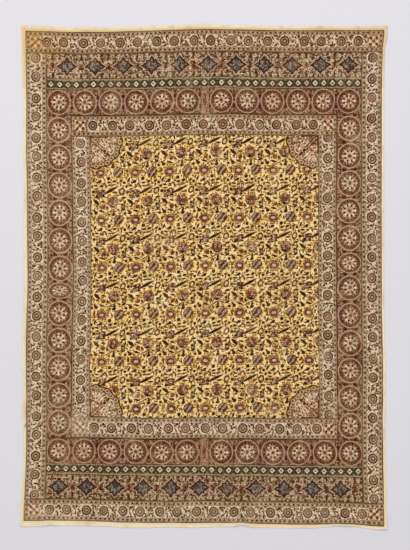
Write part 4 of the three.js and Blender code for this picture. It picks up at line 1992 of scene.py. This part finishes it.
@dataclass
class Panel:
    """The printed cotton panel: one closed sheet with a finish for each zone of its print."""

    name: str = "printed_panel"
    step: float = 10.6
    back_strike: float = 0.38
    map_margin: float = 0.002
    back_width: float = 0.24
    back_corner: tuple[float, float] = (0.004, 0.75)
    rim_corner: tuple[float, float] = (0.36, 0.78)
    rim_length: float = 0.62
    rim_width: float = 0.008
    rim_pitch: float = 0.05
    cloth: LaidCloth = LaidCloth()
    layout: PrintLayout = PrintLayout()

    def _lines(self, half: float, marks: Iterable[float]) -> np.ndarray:
        """Places mesh lines on every mark, the hem and the rim, and evenly between them.

        Args:
            half: Half the cloth's size.
            marks: Places that need a line.

        Returns:
            The lines in order.
        """
        hem = [half - distance for distance in HEM_PROFILE[0]]
        fixed = sorted({round(value, 3) for value in [*marks, *hem, *[-value for value in hem]]})
        lines = [fixed[0]]
        for start, end in zip(fixed, fixed[1:]):
            count = max(1, math.ceil((end - start) / self.step))
            lines.extend(start + (end - start) * np.arange(1, count + 1) / count)
        return np.array(lines)

    def build(self) -> bpy.types.Object:
        """Builds and dresses the sheet, and sets it on its body.

        Returns:
            The finished object.
        """
        across, along = self.layout.marks()
        x_lines = self._lines(PANEL_WIDTH / 2, [value + PRINT_MIDDLE[0] for value in across])
        y_lines = self._lines(PANEL_LENGTH / 2, [value + PRINT_MIDDLE[1] for value in along])
        flat_x, flat_y = (grid.ravel() for grid in np.meshgrid(x_lines, y_lines, indexing="ij"))
        laid_x, laid_y = self.cloth.laid(flat_x, flat_y)
        under = self.cloth.lift(flat_x, flat_y)
        over = under + CLOTH_THICKNESS + self.cloth.relief(flat_x, flat_y)
        points = np.concatenate(
            [np.stack([laid_x, laid_y, over], 1), np.stack([laid_x, laid_y, under], 1)]
        )
        quads, kinds = self._quads(len(x_lines), len(y_lines))
        mesh = bpy.data.meshes.new(self.name)
        mesh.from_pydata((points * MM).tolist(), [], quads.tolist())
        mesh.polygons.foreach_set("use_smooth", np.ones(len(quads), bool))
        panel = bpy.data.objects.new(self.name, mesh)
        bpy.context.scene.collection.objects.link(panel)
        flat = np.stack([np.tile(flat_x, 2), np.tile(flat_y, 2)], 1)
        self._dress(mesh, quads, kinds, flat)
        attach(panel, "root")
        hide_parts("panel")
        return panel

    @staticmethod
    def _quads(columns: int, rows: int) -> tuple[np.ndarray, np.ndarray]:
        """Joins the grid points into the upper face, the underside and the four rims.

        Args:
            columns: Points across the sheet.
            rows: Points along it.

        Returns:
            The quads, and for each one 0 on the upper face, 1 on the underside and 2 to 5 on a rim.
        """
        index = np.arange(columns * rows).reshape(columns, rows)
        low = columns * rows
        corners = [index[:-1, :-1], index[1:, :-1], index[1:, 1:], index[:-1, 1:]]
        face = np.stack([corner.ravel() for corner in corners], 1)
        quads = [face, face[:, ::-1] + low]
        kinds = [np.zeros(len(face), int), np.ones(len(face), int)]
        rims = (index[:, 0], index[-1, :], index[::-1, -1], index[0, ::-1])
        for number, rim in enumerate(rims):
            start, end = rim[:-1], rim[1:]
            quads.append(np.stack([start + low, end + low, end, start], 1))
            kinds.append(np.full(len(start), 2 + number))
        return np.concatenate(quads), np.concatenate(kinds)

    def _dress(
        self, mesh: bpy.types.Mesh, quads: np.ndarray, kinds: np.ndarray, flat: np.ndarray
    ) -> None:
        """Gives each face its finish, its place on the printing block and its place on the map.

        Args:
            mesh: The sheet's mesh.
            quads: Its faces.
            kinds: The kind of each face.
            flat: The flat place of each point.
        """
        printed = flat - np.array(PRINT_MIDDLE)
        middles = printed[quads].mean(axis=1)
        zones, sides = self.layout.zones(middles[:, 0], middles[:, 1])
        zones = np.where(kinds > 1, Zone.HEM.value, zones)
        corners = printed[quads]
        block_place = np.zeros((len(quads), 4, 3))
        inside_wide = np.abs(middles[:, 0]) < self.layout.wide[0]
        inside_wide &= np.abs(middles[:, 1]) < self.layout.wide[1]
        for zone in Zone:
            for side in Side:
                for nested in (False, True):
                    chosen = (zones == zone.value) & (sides == side.value) & (inside_wide == nested)
                    if not chosen.any():
                        continue
                    x, y = corners[chosen, :, 0], corners[chosen, :, 1]
                    if zone is Zone.FLOWER:
                        place = self.layout.flower_places(x, y)
                    else:
                        place = self.layout.places(zone, side, x, y, self.cloth)
                    block_place[chosen, :, 0], block_place[chosen, :, 1] = place
        attribute = mesh.attributes.new("block_place", "FLOAT_VECTOR", "CORNER")
        attribute.data.foreach_set("vector", block_place.astype(np.float32).ravel())
        # The strike also carries the top hem's painted shade.
        strike_and_shade = np.where(kinds == 1, self.back_strike, 1.0)
        for (zone, side), share in RUN_STRIKES_AND_SHADE.items():
            strike_and_shade[(zones == zone.value) & (sides == side.value)] *= share
        attribute = mesh.attributes.new("strike_and_shade", "FLOAT", "CORNER")
        attribute.data.foreach_set("value", np.repeat(strike_and_shade, 4).astype(np.float32))
        self._map(mesh, kinds, flat[quads])
        mesh.polygons.foreach_set("material_index", zones.astype(np.int32))
        self._finish(mesh)

    def _map(self, mesh: bpy.types.Mesh, kinds: np.ndarray, corners: np.ndarray) -> None:
        """Lays the faces out on one map: the printed face large, the underside small beside it.

        Args:
            mesh: The sheet's mesh.
            kinds: The kind of each face.
            corners: The flat place of each face's corners.
        """
        right = corners[:, :, 0] + PANEL_WIDTH / 2
        up = corners[:, :, 1] + PANEL_LENGTH / 2
        chart = np.stack([up, PANEL_WIDTH - right], 2) / PANEL_LENGTH
        chart = chart * (1 - 2 * self.map_margin) + self.map_margin
        under = kinds == 1
        small = self.back_width / PANEL_WIDTH
        chart[under, :, 0] = self.back_corner[0] + up[under] * small
        chart[under, :, 1] = self.back_corner[1] + right[under] * small
        for number in range(4):
            rim = kinds == 2 + number
            run = right[rim] if number in (0, 2) else up[rim]
            chart[rim, :, 0] = self.rim_corner[0] + run / PANEL_LENGTH * self.rim_length
            low = self.rim_corner[1] + self.rim_pitch * number
            chart[rim, :, 1] = low + self.rim_width * np.array([0.0, 0.0, 1.0, 1.0])
        layer = mesh.uv_layers.new(name="OFBake")
        layer.data.foreach_set("uv", chart.astype(np.float32).ravel())

    @staticmethod
    def _finish(mesh: bpy.types.Mesh) -> None:
        """Adds the material of each zone.

        Args:
            mesh: The sheet's mesh.
        """
        groups = SharedGroups()
        for zone in Zone:
            mesh.materials.append(FINISHES[zone].build(groups))


@dataclass(frozen=True)
class FloorFinish:
    """The plain pale floor under the panel."""

    hue: Hue = Hue(221, 219, 223)
    roughness: float = 0.75
    gloss: float = 0.1

    def build(self) -> bpy.types.Material:
        """Builds the material.

        Returns:
            The material.
        """
        material = bpy.data.materials.new("pale_floor")
        material.use_nodes = True
        shader = material.node_tree.nodes["Principled BSDF"]
        shader.inputs["Base Color"].default_value = self.hue.linear()
        shader.inputs["Roughness"].default_value = self.roughness
        shader.inputs["Specular IOR Level"].default_value = self.gloss
        return material


@dataclass
class Studio:
    """The floor, the soft light and the camera straight above the panel."""

    camera_height: float = 6.0
    view_length: float = 2.0232
    aim: tuple[float, float] = (0.0037, 0.0070)
    floor_side: float = 80.0
    floor_level: float = -0.0005
    floor_finish: FloorFinish = FloorFinish()
    lamp_size: tuple[float, float] = (5.0, 4.0)
    lamp_energy: float = 170.0
    lamp_place: tuple[float, float, float] = (-0.5, 2.2, 5.2)
    lamp_tilt: tuple[float, float] = (-22.0, -5.0)
    surround_colour: tuple[float, float, float, float] = (1.0, 0.995, 1.0, 1.0)
    surround_strength: float = 0.62
    sensor: float = 36.0
    farthest: float = 100.0

    def build(self) -> None:
        """Sets the whole stage."""
        self._floor()
        self._light()
        self._camera()
        view = bpy.context.scene.view_settings
        view.view_transform = "Standard"
        view.look = "None"

    def _floor(self) -> None:
        """Lays the floor just under the panel."""
        mesh = bpy.data.meshes.new("floor")
        half = self.floor_side / 2
        signs = ((-1, -1), (1, -1), (1, 1), (-1, 1))
        corners = [(half * across, half * along, self.floor_level) for across, along in signs]
        mesh.from_pydata(corners, [], [(0, 1, 2, 3)])
        mesh.materials.append(self.floor_finish.build())
        floor = bpy.data.objects.new("floor", mesh)
        bpy.context.scene.collection.objects.link(floor)

    def _light(self) -> None:
        """Hangs one broad lamp up and to the left, over an even pale surround."""
        lamp = bpy.data.lights.new("window", "AREA")
        lamp.shape = "RECTANGLE"
        lamp.size, lamp.size_y = self.lamp_size
        lamp.energy = self.lamp_energy
        holder = bpy.data.objects.new("window", lamp)
        holder.location = self.lamp_place
        holder.rotation_euler = (*(math.radians(angle) for angle in self.lamp_tilt), 0.0)
        bpy.context.scene.collection.objects.link(holder)
        world = bpy.data.worlds.new("surround")
        world.use_nodes = True
        back = world.node_tree.nodes["Background"]
        back.inputs["Color"].default_value = self.surround_colour
        back.inputs["Strength"].default_value = self.surround_strength
        bpy.context.scene.world = world

    def _camera(self) -> None:
        """Hangs the camera straight above, with the panel's top edge up."""
        lens = bpy.data.cameras.new("above")
        lens.sensor_width = self.sensor
        lens.lens = self.sensor * self.camera_height / self.view_length
        lens.clip_end = self.farthest
        camera = bpy.data.objects.new("above", lens)
        camera.location = (self.aim[0], self.aim[1], self.camera_height)
        bpy.context.scene.collection.objects.link(camera)
        bpy.context.scene.camera = camera


def main() -> None:
    """Builds the panel and its stage, and reports each piece."""
    logging.basicConfig(level=logging.INFO, format="%(name)s: %(message)s")
    panel = Panel().build()
    LOG.info("%s: %d points, %d faces", panel.name, len(panel.data.vertices), len(panel.data.polygons))
    Studio().build()
    LOG.info("stage: floor, light and camera")


if __name__ == "__main__":
    main()
